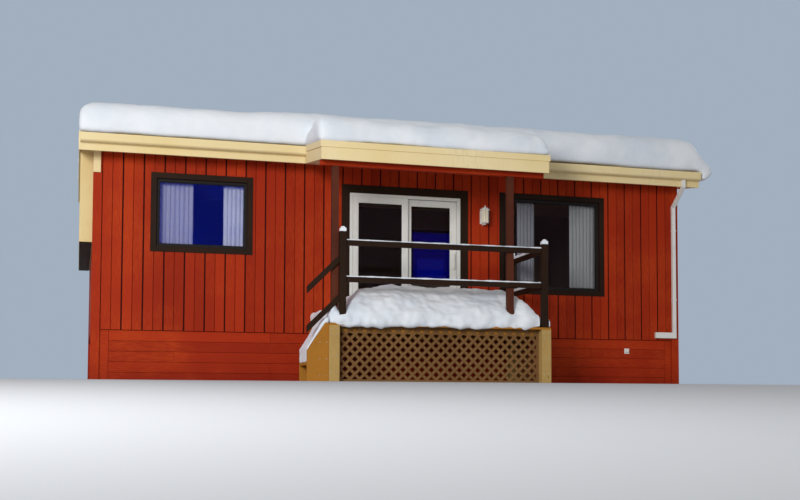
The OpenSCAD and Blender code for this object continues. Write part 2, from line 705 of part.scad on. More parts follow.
// Steps at the deck's left side
stair_x = deck_x - stair_run;
stair_y0 = deck_y0 + 20;
side_foot_h = 410;
side_head = 50;
side_outline = [
    [stair_x, 0], [deck_x, 0], [deck_x, floor_z], [deck_x - side_head, floor_z], [stair_x, side_foot_h]
];
module stair_sides() color(pine) site() for (y = [stair_y0, stair_y0 + stair_w - tread_t])
    along_y(y, y + tread_t, side_outline);
steps = 2;
function tread_z(i) = i * floor_z / (steps + 1);
module stair_treads() color(pine) site() for (i = [1:steps])
    let (x = stair_x + (i - 1) * stair_run / steps, z = tread_z(i))
        block([x, stair_y0 + tread_t, z - tread_t], [deck_x, stair_y0 + stair_w - tread_t, z]);

// Snow
round_r = 300;
snow_z1 = fascia_z1 + snow_t;
ridge_snow_z = snow_z1 + roof_slope * (ridge_y - snow_y0 - round_r);
// Above every part of the snow
sky = ridge_snow_z + round_r;
left_round_r = 250;
// The right end of the roof's snow: places past the barge board, and heights above the roof's edge
cornice_spots = [
    [-320, snow_t], [-85, 425], [5, 240], [120, 145], [cornice, 60], [cornice, -35], [130, -125], [10, -130]
];
cornice_edge = [for (c = cornice_spots) [barge_x1 + c[0], fascia_z1 + c[1]]];
cornice_y1 = 600;
module roof_snow() color(snow_white) site() {
    intersection() {
        // Across the roof: it follows both slopes and is rounded at the eaves
        along_x(barge_x0 - 1, max_x + 1, concat(
            [[snow_y0, fascia_z1]],
            arc(snow_y0 + round_r, snow_z1 - round_r, round_r, 180, 90, 4),
            [[ridge_y, ridge_snow_z]],
            arc(hut_d - snow_y0 - round_r, snow_z1 - round_r, round_r, 90, 0, 4),
            [[hut_d - snow_y0, fascia_z1], [roof_y1, fascia_z1]],
            [[ridge_y, under(ridge_y) + roof_t], [roof_y0, fascia_z1]]
        ));
        // Along the roof: rounded at the left end, drooping over the right one
        along_y(snow_y0 - 1, hut_d - snow_y0 + 1, concat(
            [[barge_x0, fascia_z1 - 1]],
            arc(barge_x0 + left_round_r, snow_z1 - left_round_r, left_round_r, 180, 110, 3),
            [[barge_x0 + 2 * left_round_r, sky], [barge_x1 - 2 * left_round_r, sky]],
            [for (i = [0:4]) cornice_edge[i]],
            [[max_x, fascia_z1 - 1]]
        ));
    }
    cornice_lobe();
    from_back() cornice_lobe();
}
// Snow that has curled over the roof's right edge near the eaves
module cornice_lobe() intersection() {
    along_x(cornice_edge[7].x, max_x + 1, [
        [snow_y0 + snow_lip, cornice_edge[7].y - 1], [snow_y0, fascia_z1],
        [snow_y0 + snow_lip, cornice_edge[2].y], [cornice_y1 / 2, cornice_edge[2].y],
        [cornice_y1, fascia_z1 + snow_lip], [cornice_y1 / 2, cornice_edge[7].y - 1]
    ]);
    along_y(snow_y0 - 1, cornice_y1 + 1, concat(
        [for (i = [3:7]) cornice_edge[i]],
        [[cornice_edge[7].x, cornice_edge[2].y]]
    ));
}
canopy_snow_y1 = snow_y0 - 5;
canopy_snow_z1 = canopy_fascia_z1 + canopy_snow_t;
canopy_snow_x0 = canopy_x - fascia_t - drip_t;
canopy_snow_x1 = canopy_x1 + fascia_t + drip_t;
canopy_left_r = 150;
module canopy_snow() color(snow_white) site() intersection() {
    along_x(canopy_snow_x0 - 1, canopy_snow_x1 + 1, concat(
        [[canopy_snow_y0, canopy_fascia_z1]],
        arc(canopy_snow_y0 + round_r, canopy_snow_z1 - round_r, round_r, 180, 90, 4),
        [[canopy_snow_y1, canopy_snow_z1 + roof_slope * (canopy_snow_y1 - canopy_snow_y0 - round_r)]],
        [[canopy_snow_y1, under(snow_y0) + roof_t], [canopy_y0, canopy_fascia_z1]]
    ));
    // Along the canopy: a small rounding at the left end, a long one at the right
    along_y(canopy_snow_y0 - 1, canopy_snow_y1 + 1, concat(
        [[canopy_snow_x0, canopy_fascia_z1 - 1]],
        arc(canopy_snow_x0 + canopy_left_r, canopy_snow_z1 - canopy_left_r, canopy_left_r, 180, 110, 3),
        [[canopy_snow_x0 + 2 * canopy_left_r, sky], [canopy_snow_x1 - 2 * round_r, sky]],
        arc(canopy_snow_x1 - round_r, canopy_snow_z1 - round_r, round_r, 80, 0, 4),
        [[canopy_snow_x1, canopy_fascia_z1 - 1]]
    ));
}
heap_top = floor_z + heap_h;
heap_y1 = -trim_t - 15;
// Outlines of the heap: places along and across the deck, and the heap's height there as a share
heap_along = [
    [0, 0.34], [50, 0.46], [140, 0.32], [250, 0.42], [520, 0.85], [820, 1],
    [deck_w - 700, 1], [deck_w - 420, 0.8], [deck_w - 150, 0.34], [deck_w, 0.2]
];
heap_across = [[0, 0.25], [150, 0.56], [450, 0.9], [800, 1], [deck_d, 1]];
function heap_outline(start, spots, far) = concat(
    [[start, floor_z]], [for (s = spots) [start + s[0], floor_z + s[1] * heap_h]], [[start + far, floor_z]]
);
module deck_snow() color(snow_white) site() difference() {
    intersection() {
        along_y(deck_y0, heap_y1, heap_outline(deck_x, heap_along, deck_w));
        along_x(deck_x - 1, deck_x1 + 1, heap_outline(deck_y0, heap_across, deck_d));
    }
    grow = snow_gap;
    for (x = [left_newel_x, right_newel_x])
        block([x - grow, newel_y0 - 1, floor_z - 1],
            [x + newel_w + grow, newel_y0 + newel_w + grow, heap_top + 1]);
    block([right_newel_x - grow, back_newel_y - grow, floor_z - 1],
        [right_newel_x + newel_w + grow, 1, heap_top + 1]);
    for (x = [left_post_x, right_post_x])
        block([x - post_w / 2 - grow, beam_y0 - grow, floor_z - 1],
            [x + post_w / 2 + grow, beam_y1 + grow, heap_top + 1]);
    stair_rail(heap_top, heap_top - stair_rail_tops[1] + stair_rail_h, grow);
}

// Snow on the steps: it fills them to a slope and lies over the side boards, thin at the foot
ramp_foot_t = 35;
ramp_head_t = 60;
ramp_top = 80;
module stair_snow() color(snow_white) site() {
    along_y(stair_y0 + tread_t, stair_y0 + stair_w - tread_t, [
        [stair_x, tread_z(1)], [stair_x + stair_run / steps, tread_z(1)],
        [stair_x + stair_run / steps, tread_z(2)],
        [deck_x, tread_z(2)], [deck_x, floor_z], [deck_x - side_head, floor_z], [stair_x, side_foot_h]
    ]);
    along_y(stair_y0, stair_y0 + stair_w, [
        [stair_x, side_foot_h], [deck_x - side_head, floor_z], [deck_x, floor_z],
        [deck_x, floor_z + ramp_top], [deck_x - side_head, floor_z + ramp_head_t],
        [stair_x, side_foot_h + ramp_foot_t]
    ]);
}
// Caps on the railing posts, and the snow along the tops of the rails
cap_h = 48;
cap_inset = 18;
crown_h = 26;
front_strip_h = 18;
side_strip_h = 42;
module cap(x, y, top) {
    block([x, y, top], [x + newel_w, y + newel_w, top + cap_h]);
    block([x + cap_inset, y + cap_inset, top],
        [x + newel_w - cap_inset, y + newel_w - cap_inset, top + cap_h + crown_h]);
}
module rail_snow() color(snow_white) site() {
    cap(left_newel_x, newel_y0, left_newel_top);
    cap(right_newel_x, newel_y0, right_newel_top);
    cap(right_newel_x, back_newel_y, right_newel_top);
    side_x = right_newel_x + newel_w / 2 - rail_t / 2;
    for (z = [floor_z + rail_top, floor_z + rail_mid]) {
        block([left_newel_x + newel_w, rail_y - rail_t / 2, z],
            [right_newel_x, rail_y + rail_t / 2, z + front_strip_h]);
        block([side_x, newel_y0 + newel_w, z], [side_x + rail_t, back_newel_y, z + side_strip_h]);
    }
}

// Vent hood on the skirt, on a square plate, at a distance from the cabin's right end
vent_inset = 870;
vent_x = hut_l - vent_inset;
vent_z = 550;
vent_r = 32;
vent_out = 40;
vent_plate = 80;
vent_plate_t = 16;
module skirt_vent() color(white) site() {
    translate([vent_x, siding_t, vent_z]) rotate([90, 0, 0])
        cylinder(r1 = vent_r, r2 = vent_r * 0.7, h = vent_out, $fn = 32);
    block([vent_x - vent_plate / 2, siding_t - vent_plate_t, vent_z - vent_plate / 2],
        [vent_x + vent_plate / 2, siding_t, vent_z + vent_plate / 2]);
}

skirt_front();
skirt_back();
skirt_ends();
floor();
front_wall_left();
front_wall_right();
wall_over_door();
back_wall();
left_wall();
right_wall();
corner_boards();
end_bay();
eave_returns();
roof_front();
roof_back();
fascia_boards();
barge_boards();
gutters();
downspout();
window_trims();
window_frames();
window_glass();
curtain_rods();
left_window_curtains();
right_window_curtains();
door_casing();
door_frame();
fixed_door_panel();
fixed_door_glass();
sliding_door_panel();
sliding_door_glass();
door_handle();
canopy_roof();
canopy_fascia();
canopy_beam();
canopy_posts();
wall_lantern();
lantern_glass();
deck_frame();
deck_floor();
deck_legs();
lattice_front();
lattice_sides();
rail_posts();
deck_rails();
stair_rails();
stair_sides();
stair_treads();
roof_snow();
canopy_snow();
deck_snow();
stair_snow();
rail_snow();
skirt_vent();
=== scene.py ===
# %% [markdown]
# # A winter fishing hut with a porch
#
# This lesson dresses a red boarded hut: a long low cabin on a boarded skirt, a raised deck with a
# lattice below it, a lean-to canopy, a sliding patio door, and deep snow on everything that lies flat.
# The solid parts come in as a fixed frame, in metres, with Z up. They are never moved or reshaped.
# Everything that is added is placed by measuring those parts, so nothing has to be fitted by eye.

# %% Tools and frame
import json
import math
import random

import bmesh
import bpy
from mathutils import Matrix, Vector, noise


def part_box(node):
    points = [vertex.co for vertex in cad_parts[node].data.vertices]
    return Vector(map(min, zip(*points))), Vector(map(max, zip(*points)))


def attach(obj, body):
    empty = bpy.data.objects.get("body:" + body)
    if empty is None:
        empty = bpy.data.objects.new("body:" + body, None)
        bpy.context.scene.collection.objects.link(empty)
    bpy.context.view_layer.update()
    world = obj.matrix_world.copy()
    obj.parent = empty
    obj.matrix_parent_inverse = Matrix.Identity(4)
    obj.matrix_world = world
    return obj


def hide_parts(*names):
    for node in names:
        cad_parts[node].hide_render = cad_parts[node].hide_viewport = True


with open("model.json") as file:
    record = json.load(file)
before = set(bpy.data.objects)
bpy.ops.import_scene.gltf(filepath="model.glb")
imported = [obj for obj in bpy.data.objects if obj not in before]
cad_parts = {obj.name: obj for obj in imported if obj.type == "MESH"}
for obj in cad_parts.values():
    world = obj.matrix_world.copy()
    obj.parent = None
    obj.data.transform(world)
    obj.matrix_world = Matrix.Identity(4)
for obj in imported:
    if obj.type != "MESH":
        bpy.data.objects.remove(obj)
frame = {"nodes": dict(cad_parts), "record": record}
scene = bpy.context.scene
scene.view_settings.view_transform = "Standard"
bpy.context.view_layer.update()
HUT = "hut"


def placed(name, data):
    """An object in the scene, round a mesh, a lamp or a camera."""
    made = bpy.data.objects.new(name, data)
    scene.collection.objects.link(made)
    return made


# %% [markdown]
# ## The camera
#
# The eye stands below the hut's base, on a slope that falls away in front of it, 16 m from the deck and
# left of it. A long lens fills the picture. A small shift keeps the upright lines nearly parallel, as they
# are in a picture taken with a level camera.

# %% Camera
EYE = Vector((-4.70, -18.81, -0.41))
TURN = math.radians(17.8)
PITCH = math.radians(3.4)
LENS_MM = 55.5
SHIFT = (-0.092, 0.112)
camera_data = bpy.data.cameras.new("camera")
camera_data.lens = LENS_MM
camera_data.sensor_width = 36
camera_data.shift_x, camera_data.shift_y = SHIFT
camera = placed("camera", camera_data)
camera.location = EYE
camera.rotation_euler = (math.radians(90) + PITCH, 0, -TURN)
scene.camera = camera
print("camera at", tuple(EYE), "lens", LENS_MM)

# %% [markdown]
# ## The floor and the light
#
# The floor is a plain pale sheet. It is level round the hut and falls away gently in front, or it would
# hide the hut's foot from an eye that low. One broad soft lamp stands at the front, a little to the left,
# so that every board throws a fine shadow to its right. Two weaker ones light the right end and the back.

# %% Floor
FLOOR_REACH = 160.0
FLOOR_FALL = 0.045
FLOOR_BEND = 1.2
NEAR_STEP = 0.25
FAR_STEP = 8
deck_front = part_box("deck_floor")[0].y


def floor_height(y):
    """Level behind the front of the deck, and falling ever more steadily in front of it."""
    ahead = max(deck_front - y, 0)
    return -FLOOR_FALL * ahead * ahead / (ahead + FLOOR_BEND)


rows = [deck_front - NEAR_STEP * step for step in range(33)]
rows = sorted(rows + [deck_front - FAR_STEP * 1.5**step for step in range(1, 7)] + [FLOOR_REACH])
corners = [(side, row, floor_height(row)) for row in rows for side in (-FLOOR_REACH, FLOOR_REACH)]
strips = [(i, i + 1, i + 3, i + 2) for i in range(0, len(corners) - 2, 2)]
floor_mesh = bpy.data.meshes.new("studio_floor")
floor_mesh.from_pydata(corners, [], strips)
floor_mesh.shade_smooth()
studio_floor = placed("studio_floor", floor_mesh)
print("floor:", len(strips), "strips")

# %% Lamps
MAIN_POWER = 1600
WEAK_POWER = 650
LAMP_SIZE = 4.5
HUT_MIDDLE = Vector((0, 0, 2.0))


def lamp(name, place, power):
    """A square area lamp at a place, turned towards the hut."""
    data = bpy.data.lights.new(name, "AREA")
    data.energy = power
    data.size = LAMP_SIZE
    made = placed(name, data)
    made.location = place
    made.rotation_euler = (HUT_MIDDLE - made.location).to_track_quat("-Z", "Y").to_euler()


lamp("front_lamp", (-9.5, -15.5, 4.8), MAIN_POWER)
lamp("right_lamp", (17.0, 5.0, 9.0), WEAK_POWER)
lamp("back_lamp", (-8.0, 17.0, 9.0), WEAK_POWER)
print("lamps:", MAIN_POWER, "W in front,", WEAK_POWER, "W at the right and behind")

# %% [markdown]
# ## Shader maths as plain sums
#
# A procedural finish is a chain of nodes. Written by hand, each sum costs four lines. A small class that
# wraps one output of a node and answers to + - * / turns those lines into ordinary Python expressions, and
# one method makes any other node.

# %% A wrapper for nodes
def socket_named(sockets, key):
    """A socket by its number, name or identifier."""
    if isinstance(key, int):
        return sockets[key]
    return next(socket for socket in sockets if key in (socket.identifier, socket.name))


def operator(operation, swapped=False):
    """A method that works out a sum with one Math node."""
    def method(flow, other):
        return flow.graph.sum(operation, *((other, flow) if swapped else (flow, other)))

    return method


class Flow:
    """What comes out of one node. Sums with it add Math nodes to the same tree."""

    def __init__(self, graph, socket):
        self.graph = graph
        self.socket = socket

    def beside(self, name):
        """Another output of the same node."""
        return Flow(self.graph, self.socket.node.outputs[name])

    __add__ = operator("ADD")
    __sub__ = operator("SUBTRACT")
    __rsub__ = operator("SUBTRACT", swapped=True)
    __mul__ = operator("MULTIPLY")
    __rmul__ = operator("MULTIPLY", swapped=True)
    __truediv__ = operator("DIVIDE")


class Graph:
    """A node tree, and one method that adds any node to it."""

    def __init__(self, tree):
        self.tree = tree

    def node(self, kind, settings=None, inputs=None, out=0):
        """A node of this kind: its settings first, then the values or flows of its sockets."""
        made = self.tree.nodes.new(kind)
        for name, value in (settings or {}).items():
            setattr(made, name, value)
        for key, value in (inputs or {}).items():
            socket = socket_named(made.inputs, key)
            if isinstance(value, Flow):
                self.tree.links.new(value.socket, socket)
            else:
                socket.default_value = value
        return Flow(self, socket_named(made.outputs, out))

    def sum(self, operation, *values):
        """A Math node on flows or numbers."""
        return self.node("ShaderNodeMath", {"operation": operation}, dict(enumerate(values)))


print("a flow can be added, subtracted, multiplied and divided")

# %% A finish and its usual steps
class Finish(Graph):
    """A material round one Principled shader, with the patterns that several finishes share."""

    def __init__(self, name, **constants):
        self.material = bpy.data.materials.new(name)
        self.material.use_nodes = True
        super().__init__(self.material.node_tree)
        self.shader = self.tree.nodes["Principled BSDF"]
        for key, value in constants.items():
            self.shader.inputs[key.replace("_", " ")].default_value = value
        self.place = self.node("ShaderNodeTexCoord", out="Object")

    def set(self, name, flow):
        """Links a flow to a socket of the shader."""
        self.tree.links.new(flow.socket, self.shader.inputs[name])

    def stretched(self, scale):
        """The place on the object, squeezed along each axis by its own factor."""
        return self.node("ShaderNodeMapping", inputs={"Vector": self.place, "Scale": scale})

    def clouds(self, size, place=None, detail=3.0, rough=0.55):
        """Noise between 0 and 1 whose patches are about this large."""
        return self.node("ShaderNodeTexNoise", inputs={
            "Vector": place or self.place, "Scale": 1 / size, "Detail": detail, "Roughness": rough})

    def between(self, value, low, high, start=0.0, end=1.0):
        """A flow mapped from one range to another and held within it."""
        return self.node("ShaderNodeMapRange", inputs={
            "Value": value, "From Min": low, "From Max": high, "To Min": start, "To Max": end})

    def blend(self, factor, first, second):
        """The first colour where the factor is 0, the second where it is 1."""
        def colour(value):
            return value if isinstance(value, Flow) else (*value, 1)

        return self.node("ShaderNodeMix", {"data_type": "RGBA"}, {
            "Factor_Float": factor, "A_Color": colour(first), "B_Color": colour(second)}, out="Result_Color")

    def attribute(self, name):
        """A number that the mesh itself carries."""
        return self.node("ShaderNodeAttribute", {"attribute_name": name}, out="Fac")

    def relief(self, height, depth, strength=1.0):
        """Feeds a height to the shader's normal, so that 1 stands this many metres high."""
        bump = self.node("ShaderNodeBump", inputs={"Height": height, "Distance": depth, "Strength": strength})
        self.set("Normal", bump)


def dress(finish, *nodes):
    """Gives parts of the frame their finish."""
    for node in nodes:
        mesh = frame["nodes"][node].data
        mesh.materials.clear()
        mesh.materials.append(finish.material)


print("a finish is one shader and its patterns")

# %% [markdown]
# ## Eased edges
#
# No joiner leaves a knife edge on a post or a rail, and a rounded one catches the light as a thin line. A
# part of the frame comes as loose triangles, so a copy is merged into whole faces first. Only its real edges
# are left then, and those are bevelled. Each separate timber also gets a tone of its own, as no two take a
# stain alike.

# %% Copies with eased edges
EASE = 0.003
FLAT = math.radians(1)
SHARP = math.radians(30)
BODIES = frame["record"]["behaviour"]["bodies"]
BODY_OF = {node: body for body, nodes in BODIES.items() for node in nodes}


def merged(node):
    """A part's mesh with its loose triangles joined at their corners."""
    mesh = bmesh.new()
    mesh.from_mesh(frame["nodes"][node].data)
    bmesh.ops.remove_doubles(mesh, verts=mesh.verts, dist=1e-5)
    return mesh


def islands(mesh):
    """Lists of faces that hang together, one for each separate solid."""
    for face in mesh.faces:
        face.tag = False
    for first in mesh.faces:
        if first.tag:
            continue
        first.tag = True
        group = [first]
        for face in group:
            for near in (other for edge in face.edges for other in edge.link_faces if not other.tag):
                near.tag = True
                group.append(near)
        yield group


def settled(mesh, name, finish, node):
    """Makes a piece of an edited copy of a part, which it stands for."""
    data = bpy.data.meshes.new(name)
    mesh.to_mesh(data)
    mesh.free()
    made = placed(name, data)
    data.materials.append(finish.material)
    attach(made, BODY_OF[node])
    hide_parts(node)
    return made


def ease(finish, *nodes, width=EASE):
    """Stands copies with rounded edges in for parts."""
    for node in nodes:
        mesh = merged(node)
        bmesh.ops.dissolve_limit(mesh, angle_limit=FLAT, verts=mesh.verts, edges=mesh.edges)
        edges = [edge for edge in mesh.edges if edge.is_manifold and edge.calc_face_angle() > SHARP]
        bmesh.ops.bevel(mesh, geom=edges, offset=width, segments=2, profile=0.5, affect="EDGES",
                        clamp_overlap=True)
        tone = mesh.faces.layers.float.new("tone")
        chance = random.Random(node)
        for group in islands(mesh):
            shade = chance.random()
            for face in group:
                face[tone] = shade
        made = settled(mesh, node + "_eased", finish, node)
        print(made.name, len(made.data.polygons), "faces")


# %% [markdown]
# ## Floor and sky
#
# The floor and the sky stay plain. The sky shows a flat pale blue grey to the camera and in reflections, so
# that white snow stands out against it, while it lights the hut evenly.

# %% Floor finish and sky
FLOOR_TINT = (0.50, 0.51, 0.53)
SKY_TINT = (0.36, 0.43, 0.52)
SKY_LIGHT = 0.40

floor_finish = Finish("studio_floor", Roughness=0.9)
floor_finish.set("Base Color", floor_finish.blend(
    floor_finish.clouds(3.0), tuple(0.97 * part for part in FLOOR_TINT), FLOOR_TINT))
floor_mesh.materials.append(floor_finish.material)

world = bpy.data.worlds.new("sky")
world.use_nodes = True
scene.world = world
sky = Graph(world.node_tree)
seen = 0
for ray in ("Is Camera Ray", "Is Glossy Ray", "Is Transmission Ray"):
    seen = sky.node("ShaderNodeLightPath", out=ray) + seen
lit = sky.node("ShaderNodeBackground", inputs={"Color": (1, 1, 1, 1), "Strength": SKY_LIGHT})
shown = sky.node("ShaderNodeBackground", inputs={"Color": (*SKY_TINT, 1), "Strength": 1.0})
both = sky.node("ShaderNodeMixShader", inputs={0: sky.sum("MINIMUM", seen, 1), 1: lit, 2: shown})
world.node_tree.links.new(both.socket, world.node_tree.nodes["World Output"].inputs["Surface"])
print("sky light", SKY_LIGHT, "shown as", SKY_TINT)

# %% [markdown]
# ## Painted boards
#
# Barn red paint on boards is never even. Each board took the paint a little differently, the paint has faded
# in streaks along the grain, and meltwater has left the foot of the wall darker. The tone of a board comes
# from a number on its mesh, and the streaks are noise stretched along the board.

# %% Red paint
BARN_RED = (0.40, 0.028, 0.005)
FADED_RED = (0.52, 0.062, 0.010)
DEEP_RED = (0.19, 0.008, 0.002)
SPLASH_TOP = 0.55
MATT = 0.10


def board_paint(name, stretch):
    """Red paint on boards whose grain is stretched by the given factors."""
    finish = Finish(name, Roughness=0.6, Specular_IOR_Level=MATT)
    streaks = finish.clouds(0.05, finish.stretched(stretch), detail=4)
    wear = finish.clouds(0.9, detail=5)
    tone = finish.between(finish.attribute("tone"), 0, 1, 0.0, 0.55)
    colour = finish.blend(tone, BARN_RED, DEEP_RED)
    colour = finish.blend(finish.between(streaks * wear, 0.22, 0.42, 0.0, 0.7), colour, FADED_RED)
    height = finish.node("ShaderNodeSeparateXYZ", inputs={0: finish.place}, out="Z")
    splash = finish.between(height + wear * 0.3, 0.12, SPLASH_TOP, 0.55, 0.0)
    finish.set("Base Color", finish.blend(splash, colour, DEEP_RED))
    finish.set("Roughness", finish.between(streaks + wear * 0.4, 0.4, 0.9, 0.5, 0.8))
    finish.relief(streaks, 0.0012, 0.7)
    return finish


red_upright = board_paint("red_paint_upright", (9.0, 9.0, 0.5))
red_level = board_paint("red_paint_level", (0.5, 9.0, 9.0))
print("paint:", red_upright.material.name, red_level.material.name)

# %% [markdown]
# ## Walls
#
# A wall of the frame is one slab. Outside it is seen only in the grooves between the boards, and there it
# is painted nearly black, as painted shade deep in the grooves. Inside it shows plain panelling through
# the windows. One finish does both: it looks whether a point lies within the room.

# %% Wall finish
PANELLING = (0.30, 0.21, 0.13)
# Painted shade: the nearly black colour of the grooves stands for the shade that falls deep in them
GROOVE_SHADE = (0.035, 0.004, 0.003)
room_low, room_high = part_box("floor")


def inside_room(finish):
    """1 within the room's outline, 0 outside it."""
    x = finish.node("ShaderNodeSeparateXYZ", inputs={0: finish.place}, out="X")
    inside = 1
    for place, low, high in ((x, room_low.x, room_high.x), (x.beside("Y"), room_low.y, room_high.y)):
        inside = finish.sum("GREATER_THAN", place, low) * inside
        inside = finish.sum("LESS_THAN", place, high) * inside
    return inside


wall_groove_shade_and_panelling = Finish("wall_slab", Roughness=0.8, Specular_IOR_Level=MATT)
wall_groove_shade_and_panelling.set("Base Color", wall_groove_shade_and_panelling.blend(inside_room(wall_groove_shade_and_panelling), GROOVE_SHADE, PANELLING))
dress(wall_groove_shade_and_panelling, "front_wall_left", "front_wall_right", "wall_over_door",
      "back_wall", "left_wall", "right_wall")
# The skirt's slab shows only in its grooves, so its nearly black colour is painted shade too
groove_shade = Finish("skirt_slab", Base_Color=(*GROOVE_SHADE, 1), Roughness=0.8, Specular_IOR_Level=MATT)
dress(groove_shade, "skirt_front", "skirt_back", "skirt_ends")
print("walls dressed; the room is", [round(side, 2) for side in room_high - room_low])

# %% [markdown]
# ## Boards from outlines
#
# Every boarded face of the hut is made the same way. Python lays out one flat outline for each board, where
# a carpenter would: on a regular pitch, cut round windows and doors, and sloped under the roof. Geometry
# Nodes then make timber of each outline: they thicken it, plane its long edges, give it a tone of its own
# and close its back. One rule serves walls, skirt, soffits, casings and deck.

# %% A rule for shapes
class ShapeRule(Graph):
    """A Geometry Nodes tree with a mesh coming in and named sizes."""

    def __init__(self, name, **sizes):
        super().__init__(bpy.data.node_groups.new(name, "GeometryNodeTree"))
        sides = self.tree.interface
        for way in ("OUTPUT", "INPUT"):
            sides.new_socket("Geometry", in_out=way, socket_type="NodeSocketGeometry")
        kinds = {float: "NodeSocketFloat", int: "NodeSocketInt"}
        for key, value in sizes.items():
            socket = sides.new_socket(key, in_out="INPUT", socket_type=kinds[type(value)])
            socket.default_value = value
        sides.new_socket("Finish", in_out="INPUT", socket_type="NodeSocketMaterial")
        self.entry = self.tree.nodes.new("NodeGroupInput")
        self.exit = self.tree.nodes.new("NodeGroupOutput")

    def given(self, name):
        """One of the rule's inputs."""
        return Flow(self, self.entry.outputs[name])

    def attribute(self, name, kind="FLOAT"):
        """A value that the incoming mesh carries."""
        return self.node("GeometryNodeInputNamedAttribute", {"data_type": kind}, {"Name": name})

    def end(self, shape):
        """Makes instances real, sets the finish and hands the shape over."""
        real = self.node("GeometryNodeRealizeInstances", inputs={0: shape})
        done = self.node("GeometryNodeSetMaterial", inputs={0: real, "Material": self.given("Finish")})
        self.tree.links.new(done.socket, self.exit.inputs[0])


def plain(piece):
    """Turns a piece with modifiers into a plain mesh with none."""
    graph = bpy.context.evaluated_depsgraph_get()
    mesh = bpy.data.meshes.new_from_object(piece.evaluated_get(graph), depsgraph=graph)
    piece.modifiers.clear()
    piece.data = mesh


def grown(rule, name, mesh, finish, **sizes):
    """The piece that a rule makes of a mesh. It rides on the hut."""
    made = placed(name, mesh)
    modifier = made.modifiers.new("rule", "NODES")
    modifier.node_group = rule.tree
    values = {**sizes, "Finish": finish.material}
    for item in rule.tree.interface.items_tree:
        if item.in_out == "INPUT" and item.name in values:
            modifier[item.identifier] = values[item.name]
    plain(made)
    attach(made, HUT)
    return made


print("a rule is a tree with named sizes")

# %% The board rule
boards = ShapeRule("boards", Thickness=0.012, Chamfer=0.002, Seed=1)
outlines = boards.given("Geometry")
tones = boards.node("FunctionNodeRandomValue", {"data_type": "FLOAT"}, {
    "ID": boards.attribute("board", "INT"), "Seed": boards.given("Seed")}, out="Value_001")
toned = boards.node("GeometryNodeStoreNamedAttribute", {"data_type": "FLOAT", "domain": "FACE"}, {
    "Geometry": outlines, "Name": "tone", "Value": tones})
body = boards.node("GeometryNodeExtrudeMesh", {"mode": "FACES"}, {
    "Mesh": toned, "Offset Scale": boards.given("Thickness") - boards.given("Chamfer"), "Individual": True})
crown = boards.node("GeometryNodeExtrudeMesh", {"mode": "FACES"}, {
    "Mesh": body, "Selection": body.beside("Top"), "Offset Scale": boards.given("Chamfer"), "Individual": True})
narrower = 1 - 2 * boards.given("Chamfer") / boards.attribute("width")
planed = boards.node("GeometryNodeScaleElements", {"domain": "FACE", "scale_mode": "SINGLE_AXIS"}, {
    "Geometry": crown, "Selection": crown.beside("Top"), "Scale": narrower,
    "Axis": boards.attribute("across", "FLOAT_VECTOR")})
backs = boards.node("GeometryNodeFlipFaces", inputs={0: toned})
joined = boards.node("GeometryNodeJoinGeometry")
for part in (planed, backs):
    boards.tree.links.new(part.socket, joined.socket.node.inputs[0])
boards.end(boards.node("GeometryNodeMergeByDistance", inputs={"Geometry": joined, "Distance": 0.0001}))
print("board rule:", len(boards.tree.nodes), "nodes")

# %% The nail rule
nail_heads = ShapeRule("nail_heads", Radius=0.0045, Height=0.0016)
nail_radius = nail_heads.given("Radius")
head = nail_heads.node("GeometryNodeMeshCone", {"fill_type": "NGON"}, {
    "Vertices": 8, "Radius Top": nail_radius * 0.6, "Radius Bottom": nail_radius,
    "Depth": nail_heads.given("Height")})
turn = nail_heads.node("FunctionNodeAlignRotationToVector", {"axis": "Z"}, {
    "Vector": nail_heads.attribute("out", "FLOAT_VECTOR")})
nail_heads.end(nail_heads.node("GeometryNodeInstanceOnPoints", inputs={
    "Points": nail_heads.given("Geometry"), "Instance": head, "Rotation": turn}))
print("nail rule:", len(nail_heads.tree.nodes), "nodes")

# %% [markdown]
# The layout needs a face to lay boards on. A face has an origin, a direction across the boards and one along
# them, and boards stand out on the side where across times along points. A board that meets a window is cut
# in the middle of the window's casing, so its end is hidden as a real one is.

# %% Laying out boards
UP = Vector((0, 0, 1))
NAIL_EVERY = 0.6
NAIL_INSET = 0.025
LEAST_BOARD = 0.004


class Face:
    """A flat side of the hut: a corner, the way across the boards and the way along them."""

    def __init__(self, corner, across, along):
        self.corner = Vector(corner)
        self.across = Vector(across)
        self.along = Vector(along)
        self.out = self.across.cross(self.along)

    def at(self, u, v, out=0.0):
        """The point u across the boards, v along them and this far out."""
        return self.corner + self.across * u + self.along * v + self.out * out


def carry(mesh, name, kind, domain, values):
    """Writes a value for each face or point of a mesh, under a name that a rule can read."""
    field = "value"
    if kind == "FLOAT_VECTOR":
        field = "vector"
        values = [part for way in values for part in way]
    mesh.attributes.new(name, kind, domain).data.foreach_set(field, values)


